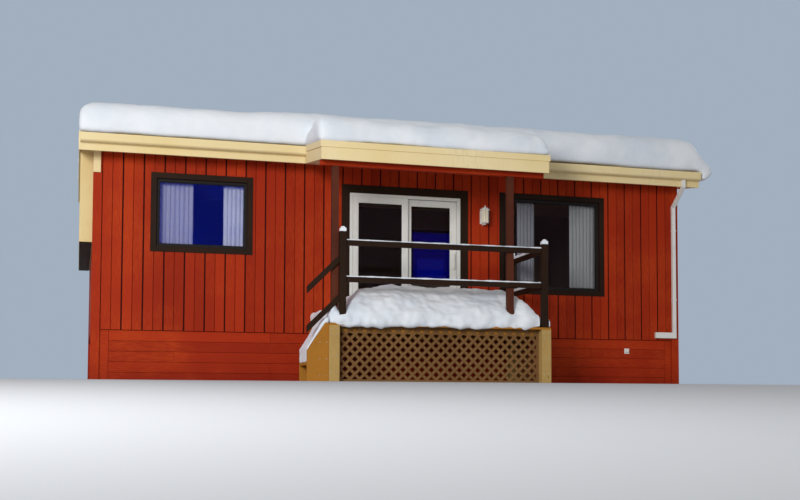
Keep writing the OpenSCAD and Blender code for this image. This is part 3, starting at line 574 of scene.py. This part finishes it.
class Layout:
    """Outlines of boards, gathered for one piece, and the places of the nails that hold them."""

    def __init__(self):
        self.points = []
        self.across = []
        self.widths = []
        self.boards = []
        self.nails = []

    def add(self, face, number, left, right, low, high_left, high_right):
        """One board between two places across and from low to a top that may slope."""
        if right - left < LEAST_BOARD or min(high_left, high_right) - low < LEAST_BOARD:
            return
        outline = ((left, low), (right, low), (right, high_right), (left, high_left))
        self.points += [face.at(u, v) for u, v in outline]
        self.across.append(face.across)
        self.widths.append(right - left)
        self.boards.append(number)
        if right - left > 3 * NAIL_INSET:
            first = math.ceil((low + NAIL_INSET) / NAIL_EVERY)
            last = int((high_left - NAIL_INSET) / NAIL_EVERY)
            self.nails += [(face, u, line * NAIL_EVERY) for line in range(first, last + 1)
                           for u in (left + NAIL_INSET, right - NAIL_INSET)]

    def add_board(self, face, number, left, right, low, high):
        """One board with a square top, nailed at both ends."""
        self.add(face, number, left, right, low, high, high)
        self.nails += [(face, u, v) for u in (left + NAIL_INSET, right - NAIL_INSET)
                       for v in (low + NAIL_INSET, high - NAIL_INSET)]

    def piece(self, name, finish, thickness, chamfer=0.002, seed=1):
        """Runs the board rule on the outlines."""
        mesh = bpy.data.meshes.new(name)
        count = len(self.boards)
        mesh.from_pydata(self.points, [], [tuple(range(4 * i, 4 * i + 4)) for i in range(count)])
        carry(mesh, "across", "FLOAT_VECTOR", "FACE", self.across)
        carry(mesh, "width", "FLOAT", "FACE", self.widths)
        carry(mesh, "board", "INT", "FACE", self.boards)
        made = grown(boards, name, mesh, finish, Thickness=thickness, Chamfer=chamfer, Seed=seed)
        print(name, count, "boards,", len(made.data.polygons), "faces")
        return made

    def nailing(self, name, finish, thickness, **sizes):
        """Runs the nail rule on the places of the nails."""
        mesh = bpy.data.meshes.new(name)
        mesh.from_pydata([face.at(u, v, thickness) for face, u, v in self.nails], [], [])
        carry(mesh, "out", "FLOAT_VECTOR", "POINT", [face.out for face, u, v in self.nails])
        made = grown(nail_heads, name, mesh, finish, **sizes)
        print(name, len(self.nails), "nails,", len(made.data.polygons), "faces")
        return made


print("a nail every", NAIL_EVERY, "m along a board")

# %% [markdown]
# ## Red siding
#
# The siding stands upright: boards of 140 mm with a strong groove after every second one and a fine groove
# between, which is the rhythm of dark lines on the wall. The skirt below it is boarded level.

# %% Measures of the cabin
front_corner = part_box("front_wall_left")[0]
cabin_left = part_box("left_wall")[0].x
cabin_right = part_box("right_wall")[1].x
front_y = front_corner.y
back_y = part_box("back_wall")[1].y
siding_foot = front_corner.z
roof_low, roof_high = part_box("roof_front")
canopy_low, canopy_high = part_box("canopy_roof")
roof_run = roof_high.y - roof_low.y
canopy_run = canopy_high.y - canopy_low.y
roof_slope = ((roof_high.z - roof_low.z) - (canopy_high.z - canopy_low.z)) / (roof_run - canopy_run)
mid_y = (front_y + back_y) / 2


def roof_under(y):
    """Height of the roof's underside over a place between front and back."""
    return roof_low.z + roof_slope * (min(y, 2 * mid_y - y) - roof_low.y)


print("slope", round(roof_slope, 4), "foot", round(siding_foot, 3))

# %% Upright siding
SIDING_T = 0.014
SIDING_PITCH = 0.14
GROOVES = (0.020, 0.006)
CORNER_W = 0.10
TRIM_W = 0.08
TOP_GAP = 0.001
siding = Layout()


def lay_siding(face, width, top, holes=()):
    """Upright boards over a wall. Top gives their height at u, and holes are (left, right, bottom, top)
    rectangles through the middle of casings."""
    for number in range(math.ceil(width / SIDING_PITCH)):
        left = max(number * SIDING_PITCH + GROOVES[number % 2] / 2, 0)
        right = min((number + 1) * SIDING_PITCH - GROOVES[(number + 1) % 2] / 2, width)
        low = siding_foot
        met = sorted((hole for hole in holes if right > hole[0] and left < hole[1]), key=lambda hole: hole[2])
        for start, end, foot, head in met:
            siding.add(face, number, left, right, low, foot, foot)
            if left < start:
                siding.add(face, number, left, start, foot, head, head)
            if right > end:
                siding.add(face, number, end, right, foot, head, head)
            low = head
        siding.add(face, number, left, right, low, top(left), top(right))


def split_boxes(node):
    """The boxes of the separate solids within one part."""
    mesh = merged(node)
    found = []
    for group in islands(mesh):
        axes = list(zip(*(vert.co for face in group for vert in face.verts)))
        found.append((Vector([min(axis) for axis in axes]), Vector([max(axis) for axis in axes])))
    mesh.free()
    return sorted(found, key=lambda box: (box[0].y, box[0].x))


casings = [box for box in split_boxes("window_trims") if box[1].x - box[0].x > 0.5]
front_casings = [box for box in casings if box[0].y < mid_y]
back_casings = [box for box in casings if box[0].y > mid_y]
door_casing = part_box("door_casing")
print("casings:", len(front_casings), "in front,", len(back_casings), "behind")

# %% Boards on the four walls
length = cabin_right - cabin_left - 2 * CORNER_W
front_top = roof_under(front_y - SIDING_T)
for boxes, y, way in ((front_casings + [door_casing], front_y, 1), (back_casings, back_y, -1)):
    start = cabin_left + CORNER_W if way > 0 else cabin_right - CORNER_W
    holes = []
    for box in boxes:
        ends = sorted(way * (x - start) for x in (box[0].x + TRIM_W / 2, box[1].x - TRIM_W / 2))
        foot = siding_foot if box is door_casing else box[0].z + TRIM_W / 2
        holes.append((*ends, foot, box[1].z - TRIM_W / 2))
    lay_siding(Face((start, y, 0), (way, 0, 0), UP), length, lambda u: front_top, holes)

depth = back_y - front_y - 2 * CORNER_W
right_face = Face((cabin_right, front_y + CORNER_W, 0), (0, 1, 0), UP)
lay_siding(right_face, depth, lambda u: roof_under(front_y + CORNER_W + u) - TOP_GAP)
bay_low, bay_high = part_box("end_bay")
left_face = Face((cabin_left, back_y - CORNER_W, 0), (0, -1, 0), UP)
lay_siding(left_face, depth, lambda u: bay_low.z)
siding.piece("siding_boards", red_upright, SIDING_T)
siding.nailing("siding_nails", red_upright, SIDING_T)

# %% [markdown]
# ## The skirt
#
# The skirt hides the blocks that the cabin stands on. Its boards lie level between an upright at each end,
# and meet end to end with the joints staggered from row to row.

# %% Skirt boards
SKIRT_T = 0.010
SKIRT_PITCH = 0.145
SKIRT_GAP = 0.003
SKIRT_DROP = 0.004
UPRIGHT_W = 0.12
UPRIGHT_NUMBER = 900
BOARD_LENGTH = 3.6
FIRST_JOINT = 0.35
NEXT_JOINT = 0.37
LEAST_END = 0.3
JOINT_GAP = 0.003


def lay_rows(layout, face, height, width, pitch, gap, piece_length=BOARD_LENGTH):
    """Level boards in rows: across is up, along is the wall's length, and joints step from row to row."""
    for number in range(math.ceil(height / pitch)):
        low = number * pitch + gap / 2
        high = min((number + 1) * pitch - gap / 2, height)
        cut = piece_length * (FIRST_JOINT + NEXT_JOINT * (number % 3))
        cuts = [0.0]
        while cut < width - LEAST_END:
            cuts.append(cut)
            cut += piece_length
        cuts.append(width)
        for step, (start, end) in enumerate(zip(cuts, cuts[1:])):
            top = end - JOINT_GAP / 2
            layout.add(face, 10 * number + step, low, high, start + JOINT_GAP / 2, top, top)


skirt = Layout()
skirt_low, skirt_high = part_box("skirt_front")
skirt_back_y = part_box("skirt_back")[1].y
skirt_ends_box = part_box("skirt_ends")
skirt_h = siding_foot - SKIRT_DROP
corner_reach = cabin_left + CORNER_W - skirt_low.x


def skirt_side(corner, along, width):
    """Boards for one side of the skirt, between the corner boards: level ones and two uprights."""
    along = Vector(along)
    start = Vector(corner) + along * corner_reach
    inner = width - 2 * corner_reach
    rows = Face(start + along * UPRIGHT_W, UP, along)
    lay_rows(skirt, rows, skirt_h, inner - 2 * UPRIGHT_W, SKIRT_PITCH, SKIRT_GAP)
    upright = Face(start, UP, along)
    for foot in (0, inner - UPRIGHT_W):
        top = foot + UPRIGHT_W - JOINT_GAP
        skirt.add(upright, UPRIGHT_NUMBER + round(foot), 0.002, skirt_h, foot + JOINT_GAP, top, top)


skirt_w = skirt_high.x - skirt_low.x
skirt_d = skirt_back_y - skirt_low.y
skirt_side((skirt_high.x, skirt_low.y, 0), (-1, 0, 0), skirt_w)
skirt_side((skirt_low.x, skirt_back_y, 0), (1, 0, 0), skirt_w)
skirt_side((skirt_ends_box[0].x, skirt_low.y, 0), (0, 1, 0), skirt_d)
skirt_side((skirt_ends_box[1].x, skirt_back_y, 0), (0, -1, 0), skirt_d)
skirt.piece("skirt_boards", red_level, SKIRT_T, seed=4)
skirt.nailing("skirt_nails", red_level, SKIRT_T)

# %% Corner boards and the canopy's beam
ease(red_upright, "corner_boards")
ease(red_level, "canopy_beam")

# %% [markdown]
# ## Cream woodwork and gutters
#
# Fascia, barge boards, gutters and the end bay are a warm cream. The bay's cream is painted deeper, as
# painted shade for a face that gets less light. The paint is smoother than the red and has yellowed in
# places, with dirty streaks where water runs off the edge.

# %% Cream finish
CREAM = (0.78, 0.61, 0.29)
CREAM_PALE = (0.84, 0.70, 0.42)
CREAM_DIRTY = (0.50, 0.38, 0.19)
# Painted shade: the bay's cream is darkened as if less light falls on it
BAY_CREAM_SHADED = (0.60, 0.43, 0.17)


def cream_paint(name, paint, pale, stretch, roughness):
    """Smooth cream paint with faint streaks of dirt down its face."""
    finish = Finish(name, Roughness=roughness, Specular_IOR_Level=0.3)
    streaks = finish.clouds(0.12, finish.stretched(stretch), detail=4)
    patches = finish.clouds(1.1, detail=4)
    colour = finish.blend(finish.between(patches, 0.3, 0.7), paint, pale)
    dirt = finish.between(streaks * patches, 0.30, 0.50, 0.0, 0.5)
    finish.set("Base Color", finish.blend(dirt, colour, CREAM_DIRTY))
    finish.set("Roughness", finish.between(streaks, 0.3, 0.7, roughness - 0.08, roughness + 0.15))
    finish.relief(finish.clouds(0.02, finish.stretched((0.3, 3, 3))), 0.0006, 0.5)
    return finish


cream_wood = cream_paint("cream_paint", CREAM, CREAM_PALE, (6.0, 6.0, 0.7), 0.5)
cream_metal = cream_paint("cream_enamel", CREAM, CREAM_PALE, (7.0, 7.0, 0.5), 0.35)
bay_cream_shaded = cream_paint("bay_paint", BAY_CREAM_SHADED, CREAM, (6.0, 6.0, 0.7), 0.5)
ease(cream_wood, "fascia_boards", "barge_boards", "canopy_fascia", "eave_returns")
ease(bay_cream_shaded, "end_bay")
dress(cream_wood, "roof_front", "roof_back", "canopy_roof")
dress(cream_metal, "gutters")

# %% [markdown]
# ## Soffits
#
# The roof's underside is lined with narrow cream boards. From the ground they are seen as fine lines
# along the eaves and under the canopy.

# %% Soffit boards
SOFFIT_T = 0.008
SOFFIT_PITCH = 0.115
SOFFIT_GAP = 0.004
soffit = Layout()


def line_slope(corner, rising, run, width):
    """Boards along X on the underside of a roof, which climbs from a corner over a level run."""
    face = Face(corner, Vector((0, rising, roof_slope)).normalized(), (rising, 0, 0))
    lay_rows(soffit, face, run * math.hypot(1, roof_slope), width, SOFFIT_PITCH, SOFFIT_GAP)


eave = front_y - roof_low.y - SIDING_T
roof_w = roof_high.x - roof_low.x
line_slope(roof_low, 1, eave, roof_w)
line_slope((roof_high.x, 2 * mid_y - roof_low.y, roof_low.z), -1, eave, roof_w)
beam_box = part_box("canopy_beam")
for start, end in ((canopy_low.y, beam_box[0].y), (beam_box[1].y, canopy_high.y)):
    foot = canopy_low.z + roof_slope * (start - canopy_low.y)
    line_slope((canopy_low.x, start, foot), 1, end - start, canopy_high.x - canopy_low.x)
soffit.piece("soffit_boards", cream_wood, SOFFIT_T, chamfer=0.0015, seed=9)

# %% [markdown]
# ## Dark joinery
#
# Casings, posts and rails are stained almost black, with a faint brown grain that shows where the light
# skims it. The underside of the end bay gets boards with the same dark stain, which stand for painted
# shade under the bay. The window frames are dark enamelled metal.

# %% Dark stain and dark enamel
KNOT_ACROSS = 5.5
KNOT_ALONG = 2.2
STAIN_DARK = (0.013, 0.006, 0.003)
STAIN_BROWN = (0.040, 0.018, 0.009)


def stained(name, deep, light, stretch, roughness=0.6, contrast=0.8, knots=0.0):
    """Timber under a stain: fine grain stretched along the piece, and darker knots of the given strength."""
    finish = Finish(name, Roughness=roughness, Specular_IOR_Level=MATT)
    grain = finish.clouds(0.03, finish.stretched(stretch), detail=6, rough=0.65)
    patches = finish.clouds(0.5, detail=3)
    factor = finish.between(grain * 0.7 + patches * 0.3, 0.35, 0.65, 0.0, contrast)
    colour = finish.blend(finish.attribute("tone") * 0.3, finish.blend(factor, deep, light), deep)
    if knots:
        along = tuple(KNOT_ALONG if part < 1 else KNOT_ACROSS for part in stretch)
        cells = finish.node("ShaderNodeTexVoronoi", inputs={"Vector": finish.stretched(along), "Scale": 1.0})
        spots = finish.between(cells + grain * 0.05, 0.05, 0.11, knots, 0.0)
        colour = finish.blend(spots, colour, tuple(0.3 * part for part in deep))
    finish.set("Base Color", colour)
    finish.set("Roughness", finish.between(grain, 0.3, 0.7, roughness - 0.12, roughness + 0.12))
    finish.relief(grain, 0.0012, 0.6)
    return finish


dark_upright = stained("dark_stain_upright", STAIN_DARK, STAIN_BROWN, (8.0, 8.0, 0.6))
dark_level = stained("dark_stain_level", STAIN_DARK, STAIN_BROWN, (0.6, 8.0, 8.0))
dark_enamel = stained("dark_enamel", (0.016, 0.013, 0.012), (0.030, 0.024, 0.021), (1, 1, 1), 0.38, 0.5)
print("dark finishes ready")

# %% Boards under the end bay, dark as painted shade
BAY_T = 0.009
BAY_PITCH = 0.12
BAY_GAP = 0.004
BAY_EDGE = 0.005
WALL_GAP = 0.03
# Painted shade: dark boards under the bay stand for the shade beneath it
bay_shade_layout = Layout()
bay_under = Face((bay_low.x + BAY_EDGE, bay_low.y + BAY_EDGE, bay_low.z), (0, 1, 0), (1, 0, 0))
bay_d = bay_high.y - bay_low.y - 2 * BAY_EDGE
lay_rows(bay_shade_layout, bay_under, bay_d, cabin_left - WALL_GAP - bay_low.x, BAY_PITCH, BAY_GAP, piece_length=4.0)
bay_shade_boards = bay_shade_layout.piece("bay_painted_shade_boards", dark_level, BAY_T, chamfer=0.0015, seed=6)

# %% Posts, rails and window frames
ease(dark_upright, "rail_posts")
ease(dark_level, "deck_rails", "stair_rails")
ease(dark_enamel, "window_frames", width=0.002)

# %% Casings as boards
CASING_T = 0.020
casing_sides = Layout()
casing_heads = Layout()


def lay_casing(box, out, width, sill=True):
    """Two uprights with a head between them, and a sill where there is one."""
    low, high = box
    out = Vector(out)
    # Uprights are counted one way along the wall and heads the other, so each starts at its own outer corner
    ways = [UP.cross(out), out.cross(UP)]
    starts = [Vector([low[i] if way[i] + out[i] > 0.5 else high[i] for i in range(2)] + [0]) for way in ways]
    upright = Face(starts[0], ways[0], UP)
    level = Face(starts[1], UP, ways[1])
    wide = abs((high - low).dot(ways[0]))
    number = len(casing_sides.boards)
    casing_sides.add_board(upright, number, 0, width, low.z, high.z)
    casing_sides.add_board(upright, number + 1, wide - width, wide, low.z, high.z)
    casing_heads.add_board(level, number, high.z - width, high.z, width, wide - width)
    if sill:
        casing_heads.add_board(level, number + 1, low.z, low.z + width, width, wide - width)


for box in split_boxes("window_trims"):
    away = (0, -1 if box in front_casings else 1, 0)
    lay_casing(box, away if box in casings else (-1, 0, 0), TRIM_W)
lay_casing(door_casing, (0, -1, 0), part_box("door_frame")[0].x - door_casing[0].x, sill=False)
for name, layout, finish in (
    ("casing_sides", casing_sides, dark_upright),
    ("casing_heads", casing_heads, dark_level),
):
    made = layout.piece(name, finish, CASING_T, chamfer=0.003, seed=8)
    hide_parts("window_trims", "door_casing")
    for part in (made, layout.nailing(name + "_nails", finish, CASING_T)):
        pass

# %% [markdown]
# ## Glass
#
# Panes let the light through to the curtains and throw back the sky where they are seen at a slant. A
# see-through shader and a mirror are mixed by a Fresnel node, which is the rule that real glass follows. The
# mirror has the colour of a thin coat on the glass. The left window reads as navy between its curtains, and
# the patio door and the right window as nearly black. The panes behind and in the end bay are tinted a deep
# blue, which also shows through the door.

# %% Glass
PANE_TINT = (0.94, 0.96, 0.98)
NIGHT_TINT = (0.03, 0.03, 0.42)
COAT_BLUE = (0.02, 0.05, 0.90)
COAT_PLUM = (0.10, 0.045, 0.06)


def glass(name, tint, coat, least=0.06):
    """A pane: see-through head on, a coloured mirror at a slant. Least is what it always mirrors."""
    finish = Finish(name, Base_Color=(*coat, 1), Roughness=0.04, Metallic=1.0)
    film = finish.between(finish.clouds(0.35, detail=5), 0.5, 0.8, 0.0, least)
    slant = finish.node("ShaderNodeFresnel", inputs={"IOR": 1.5}) * 1.4
    share = finish.sum("MINIMUM", slant + film + least, 1)
    clear = finish.node("ShaderNodeBsdfTransparent", inputs={"Color": (*tint, 1)})
    glossy = Flow(finish, finish.shader.outputs["BSDF"])
    mixed = finish.node("ShaderNodeMixShader", inputs={0: share, 1: clear, 2: glossy})
    finish.tree.links.new(mixed.socket, finish.tree.nodes["Material Output"].inputs["Surface"])
    return finish


def pane_piece(middle):
    """The piece that a pane belongs to, by its middle."""
    if middle.y > mid_y or middle.x < cabin_left:
        return "tinted_panes"
    return "left_window_pane" if middle.x < door_casing[0].x else "right_window_pane"


dark_glass = glass("dark_coated_glass", PANE_TINT, COAT_PLUM, 0.02)
pane_glass = {
    "left_window_pane": glass("blue_coated_glass", PANE_TINT, COAT_BLUE),
    "right_window_pane": dark_glass,
    "tinted_panes": glass("night_tinted_glass", NIGHT_TINT, COAT_BLUE),
}
for name, finish in pane_glass.items():
    mesh = merged("window_glass")
    for group in list(islands(mesh)):
        middle = sum((face.calc_center_median() for face in group), Vector()) / len(group)
        if pane_piece(middle) != name:
            bmesh.ops.delete(mesh, geom=group, context="FACES")
    made = settled(mesh, name, finish, "window_glass")
    print(name, len(made.data.polygons), "faces")
dress(dark_glass, "fixed_door_glass", "sliding_door_glass")

# %% [markdown]
# ## White vinyl and white enamel
#
# The patio door is white vinyl, smooth and slightly glossy, with grey marks where hands and weather reach
# it. The downspout, the vent and the curtain rods are enamelled metal of the same white.

# %% White finishes
WHITE = (0.78, 0.77, 0.73)
WHITE_MARKED = (0.58, 0.57, 0.53)


def smooth_white(name, roughness):
    """Smooth white with faint grey marks."""
    finish = Finish(name, Roughness=roughness)
    marks = finish.clouds(0.25, detail=6, rough=0.65)
    finish.set("Base Color", finish.blend(finish.between(marks, 0.5, 0.8, 0.0, 0.6), WHITE, WHITE_MARKED))
    finish.set("Roughness", finish.between(marks, 0.3, 0.7, roughness - 0.05, roughness + 0.12))
    finish.relief(finish.clouds(0.008), 0.0002, 0.4)
    return finish


vinyl = smooth_white("white_vinyl", 0.35)
white_enamel = smooth_white("white_enamel", 0.3)
ease(vinyl, "door_frame", "fixed_door_panel", "sliding_door_panel", "door_handle", width=0.002)
ease(white_enamel, "downspout", width=0.004)
dress(white_enamel, "skirt_vent", "curtain_rods")

# %% [markdown]
# ## Bare pine and brown lattice
#
# The deck's frame, its corner posts and the sides of the steps are bare softwood, gone the colour of straw,
# with knots and galvanised screws. The lattice has a brown stain. Grain is rings cut lengthways, so the noise
# is drawn out along each timber.

# %% Pine and brown stain
STRAW = (0.54, 0.36, 0.13)
STRAW_DARK = (0.38, 0.235, 0.075)
PINE = (0.48, 0.21, 0.030)
PINE_DARK = (0.33, 0.13, 0.016)
BROWN = (0.24, 0.125, 0.045)
BROWN_DARK = (0.13, 0.062, 0.022)
POST_BROWN = (0.120, 0.030, 0.014)
POST_DARK = (0.055, 0.014, 0.008)
UPRIGHT_GRAIN = (7.0, 7.0, 0.5)
LEVEL_GRAIN = (0.5, 7.0, 7.0)
KNOTS = 0.8
straw_upright = stained("straw_upright", STRAW_DARK, STRAW, UPRIGHT_GRAIN, 0.7, 1.0, KNOTS)
pine_upright = stained("pine_upright", PINE_DARK, PINE, UPRIGHT_GRAIN, 0.7, 1.0, KNOTS)
pine_level = stained("pine_level", PINE_DARK, PINE, LEVEL_GRAIN, 0.7, 1.0, KNOTS)
brown_upright = stained("brown_stain_upright", POST_DARK, POST_BROWN, UPRIGHT_GRAIN, 0.65, 1.0)
brown_lattice = stained("brown_lattice", BROWN_DARK, BROWN, (3.0, 3.0, 3.0), 0.7, 1.0)
ease(straw_upright, "deck_legs")
ease(pine_upright, "stair_sides")
ease(pine_level, "stair_treads")
ease(brown_upright, "canopy_posts")
dress(pine_level, "deck_frame", "floor")
dress(brown_lattice, "lattice_front", "lattice_sides")

# %% Screws in the deck's timbers
SCREW_R = 0.007
LEG_INSET = 0.035
LEG_SCREWS = (0.05, 0.12, 0.40, 0.62)
SIDE_INSETS = (0.03, 0.12)
SIDE_SCREWS = (0.08, 0.30, 0.52)
steel = Finish("galvanised_steel", Base_Color=(0.45, 0.45, 0.44, 1), Roughness=0.45, Metallic=1.0)
screws = Layout()
deck_legs = split_boxes("deck_legs")
for low, high in deck_legs:
    if low.y < deck_legs[0][0].y + 0.01:
        leg = Face((low.x, low.y, 0), (1, 0, 0), UP)
        sides = (LEG_INSET, high.x - low.x - LEG_INSET)
        screws.nails += [(leg, u, high.z - v) for u in sides for v in LEG_SCREWS]
low, high = split_boxes("stair_sides")[0]
side = Face((low.x, low.y, 0), (1, 0, 0), UP)
screws.nails += [(side, high.x - low.x - u, v) for u in SIDE_INSETS for v in SIDE_SCREWS]
screws.nailing("deck_screws", steel, 0.0, Radius=SCREW_R)

# %% Deck boards
DECK_PITCH = 0.147
DECK_GAP = 0.007
deck_low, deck_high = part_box("deck_floor")
deck = Layout()
deck_face = Face((deck_high.x, deck_low.y, deck_low.z), (0, 1, 0), (-1, 0, 0))
deck_d, deck_w = deck_high.y - deck_low.y, deck_high.x - deck_low.x
lay_rows(deck, deck_face, deck_d, deck_w, DECK_PITCH, DECK_GAP, piece_length=10.0)
deck_boards = deck.piece("deck_boards", pine_level, deck_high.z - deck_low.z, chamfer=0.003, seed=3)
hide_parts("deck_floor")

# %% [markdown]
# ## Snow
#
# Settled snow has no sharp edge anywhere. The frame holds its plain blocks at the right size and place. A copy
# of each is rebuilt as an even skin of small squares, smoothed so that every edge rounds over, and then
# pushed in and out a little by slow noise, as wind and thaw leave it. Where snow has heaped against a post or
# hangs over the deck's edge, round lumps are joined to the block before the skin is made, and it closes over
# them all.

# %% Snow finish
SNOW_BRIGHT = (0.80, 0.83, 0.87)
SNOW_SHADE = (0.68, 0.73, 0.80)
snow_finish = Finish("snow", Roughness=0.65)
drift = snow_finish.clouds(0.7, detail=5)
snow_finish.set("Base Color", snow_finish.blend(snow_finish.between(drift, 0.35, 0.6), SNOW_SHADE, SNOW_BRIGHT))
grains = snow_finish.clouds(0.012, detail=2) * 0.5 + snow_finish.clouds(0.07, detail=4) * 2.0
snow_finish.relief(grains, 0.004, 0.5)
print("snow finish ready")

# %% Snow as a soft skin
def soft_snow(node, grain, rounds, waves, lumps=(), shape=None):
    """A rounded copy of a block of snow. Waves are pairs of a size and a height, and lumps are
    pairs of a middle and its three radii, in metres. Shape moves each place after the smoothing."""
    mesh = merged(node)
    for middle, radii in lumps:
        place = Matrix.Translation(middle) @ Matrix.Diagonal((*radii, 1))
        bmesh.ops.create_icosphere(mesh, subdivisions=3, radius=1, matrix=place)
    piece = settled(mesh, "soft_" + node, snow_finish, node)
    skin = piece.modifiers.new("skin", "REMESH")
    skin.mode = "VOXEL"
    skin.voxel_size = grain
    settle = piece.modifiers.new("settle", "SMOOTH")
    settle.factor = 0.5
    settle.iterations = rounds
    plain(piece)
    piece.data.shade_smooth()
    normals = [vert.normal.copy() for vert in piece.data.vertices]
    for vert, normal in zip(piece.data.vertices, normals):
        vert.co += normal * sum(height * noise.noise(vert.co / size) for size, height in waves)
        if shape:
            vert.co = shape(vert.co)
    piece.data.update()
    piece.data.materials.clear()
    piece.data.materials.append(snow_finish.material)
    print(piece.name, len(piece.data.polygons), "faces")

# %% Snow on the roof, the deck and the steps
THIN_DROP = 0.14
THIN_REACH = 6.0
snow_low, snow_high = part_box("roof_snow")
roof_snow_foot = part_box("gutters")[1].z


def thinned(place):
    """The wind has left the roof's left end a little barer than the rest."""
    along = min(max((place.x - snow_low.x) / THIN_REACH, 0), 1)
    up = min(max((place.z - roof_snow_foot) / (snow_high.z - roof_snow_foot), 0), 1)
    return place - Vector((0, 0, THIN_DROP * (1 - along) * up))


ROOF_WAVES = ((1.6, 0.05), (0.45, 0.02), (0.13, 0.006))
HEAP_WAVES = ((0.7, 0.05), (0.22, 0.03), (0.08, 0.014))
LIP_EVERY = 0.19
newel, right_post = split_boxes("rail_posts")[:2]
deck_top = deck_high.z
lumps = [
    (Vector((newel[0].x - 0.08, newel[0].y + 0.10, deck_top + 0.13)), (0.075, 0.10, 0.18)),
    (Vector((newel[0].x + 0.01, newel[0].y + 0.03, deck_top + 0.06)), (0.13, 0.06, 0.10)),
    (Vector((newel[1].x + 0.04, newel[0].y + 0.04, deck_top + 0.05)), (0.14, 0.07, 0.09)),
]
lip_start = newel[1].x + 0.10
lip_end = right_post[0].x - 0.04
lip_rng = random.Random(12)
for step in range(int((lip_end - lip_start) / LIP_EVERY) + 1):
    middle = Vector((lip_start + step * LIP_EVERY, deck_low.y + 0.015, deck_top + lip_rng.uniform(0.01, 0.03)))
    lumps.append((middle, (0.17, lip_rng.uniform(0.035, 0.05), lip_rng.uniform(0.06, 0.075))))
soft_snow("roof_snow", 0.045, 8, ROOF_WAVES, shape=thinned)
soft_snow("canopy_snow", 0.035, 8, ROOF_WAVES)
soft_snow("deck_snow", 0.026, 6, HEAP_WAVES, lumps)
soft_snow("stair_snow", 0.014, 5, ((0.22, 0.015), (0.08, 0.006)))
soft_snow("rail_snow", 0.008, 4, ((0.15, 0.006), (0.05, 0.003)))

# %% [markdown]
# ## Curtains
#
# Curtains hang gathered on rods inside the two front windows, a grey one at the left of each, which is the
# white cloth darkened as painted shade, and a white one at the right. A curtain is one sheet, cut wider than
# the space that it covers, so it falls in folds. The folds are tight at the rod and looser at the hem.

# %% Curtain cloth
THREADS = 90.0


def cloth(name, thread, shade):
    """Plain woven cloth, with the weave on the map of the flat sheet."""
    finish = Finish(name, Roughness=0.85, Sheen_Weight=0.25)
    flat_place = finish.node("ShaderNodeTexCoord", out="UV")
    threads = 0
    for direction in ("X", "Y"):
        wave = finish.node("ShaderNodeTexWave", {"wave_type": "BANDS", "bands_direction": direction}, {
            "Vector": flat_place, "Scale": THREADS, "Distortion": 0.6}, out="Fac")
        threads = wave * 0.5 + threads
    finish.set("Base Color", finish.blend(finish.between(threads, 0.2, 0.8), shade, thread))
    finish.relief(threads, 0.0006, 0.5)
    return finish


# Painted shade: the grey cloth is the white one darkened, for the left curtains that get less light
shaded_cloth = cloth("grey_curtain_cloth", (0.66, 0.62, 0.64), (0.54, 0.51, 0.54))
white_cloth = cloth("white_curtain_cloth", (0.94, 0.92, 0.87), (0.86, 0.83, 0.77))
print("cloths ready")

# %% Curtain sheets
FOLD_WIDTH = 0.062
FOLD_DEPTH = 0.011
CLOTH_T = 0.0012
ROWS = 26
FOLD_COLUMNS = 10
SWAY = 0.006


def curtain_sheet(name, box, seed, finish):
    """A gathered sheet within a box, and the size that it was cut to."""
    low, high = box
    rng = random.Random(seed)
    folds = max(round((high.x - low.x) / FOLD_WIDTH), 3)
    columns = folds * FOLD_COLUMNS
    leans = [rng.uniform(-0.25, 0.25) for _ in range(folds + 1)]
    points = []
    for row in range(ROWS + 1):
        drop = row / ROWS
        depth_now = FOLD_DEPTH * (0.62 + 0.38 * drop)
        for column in range(columns + 1):
            share = column / columns
            fold = share * folds
            lean = leans[int(fold)] * math.sin(math.pi * (fold % 1))
            swing = math.sin(2 * math.pi * (fold + lean * drop))
            sway = SWAY * drop * noise.noise(Vector((share * 5, drop * 2, seed)))
            points.append((low.x + (high.x - low.x) * share + sway,
                           (low.y + high.y) / 2 + depth_now * swing,
                           high.z - (high.z - low.z) * drop))
    wide = columns + 1
    quads = [(r * wide + c, (r + 1) * wide + c, (r + 1) * wide + c + 1, r * wide + c + 1)
             for r in range(ROWS) for c in range(columns)]
    mesh = bpy.data.meshes.new(name)
    mesh.from_pydata(points, [], quads)
    middle = (ROWS // 2) * wide
    cut = sum((Vector(points[middle + c + 1]) - Vector(points[middle + c])).length for c in range(columns))
    flat = (cut, high.z - low.z)
    layer = mesh.uv_layers.new(name="cloth")
    for loop in mesh.loops:
        row, column = divmod(loop.vertex_index, wide)
        layer.data[loop.index].uv = (column / columns * flat[0], (1 - row / ROWS) * flat[1])
    made = placed(name, mesh)
    thick = made.modifiers.new("thickness", "SOLIDIFY")
    thick.thickness = CLOTH_T
    thick.offset = 0
    plain(made)
    made.data.shade_smooth()
    made.data.materials.append(finish.material)
    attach(made, HUT)
    print(name, "cut", [round(side, 2) for side in flat], "folds", folds)
    return made


for node in ("left_window_curtains", "right_window_curtains"):
    hung = sorted(split_boxes(node), key=lambda box: box[0].x)
    for side, finish, box in zip(("left", "right"), (shaded_cloth, white_cloth), hung):
        sheet = curtain_sheet(node.replace("curtains", "curtain_") + side, box, len(node + side), finish)
        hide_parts(node)

# %% [markdown]
# ## The lantern
#
# A small lantern hangs beside the door: a white case with frosted panes.

# %% Lantern finish
dress(smooth_white("lantern_enamel", 0.35), "wall_lantern")
FROSTED = (0.85, 0.74, 0.52)
frosted = Finish("frosted_glass", Roughness=0.25)
ripple = frosted.clouds(0.02, detail=2)
frosted.set("Base Color", frosted.blend(ripple, tuple(0.8 * part for part in FROSTED), FROSTED))
frosted.relief(ripple, 0.0006, 0.6)
dress(frosted, "lantern_glass")
print("lantern dressed")
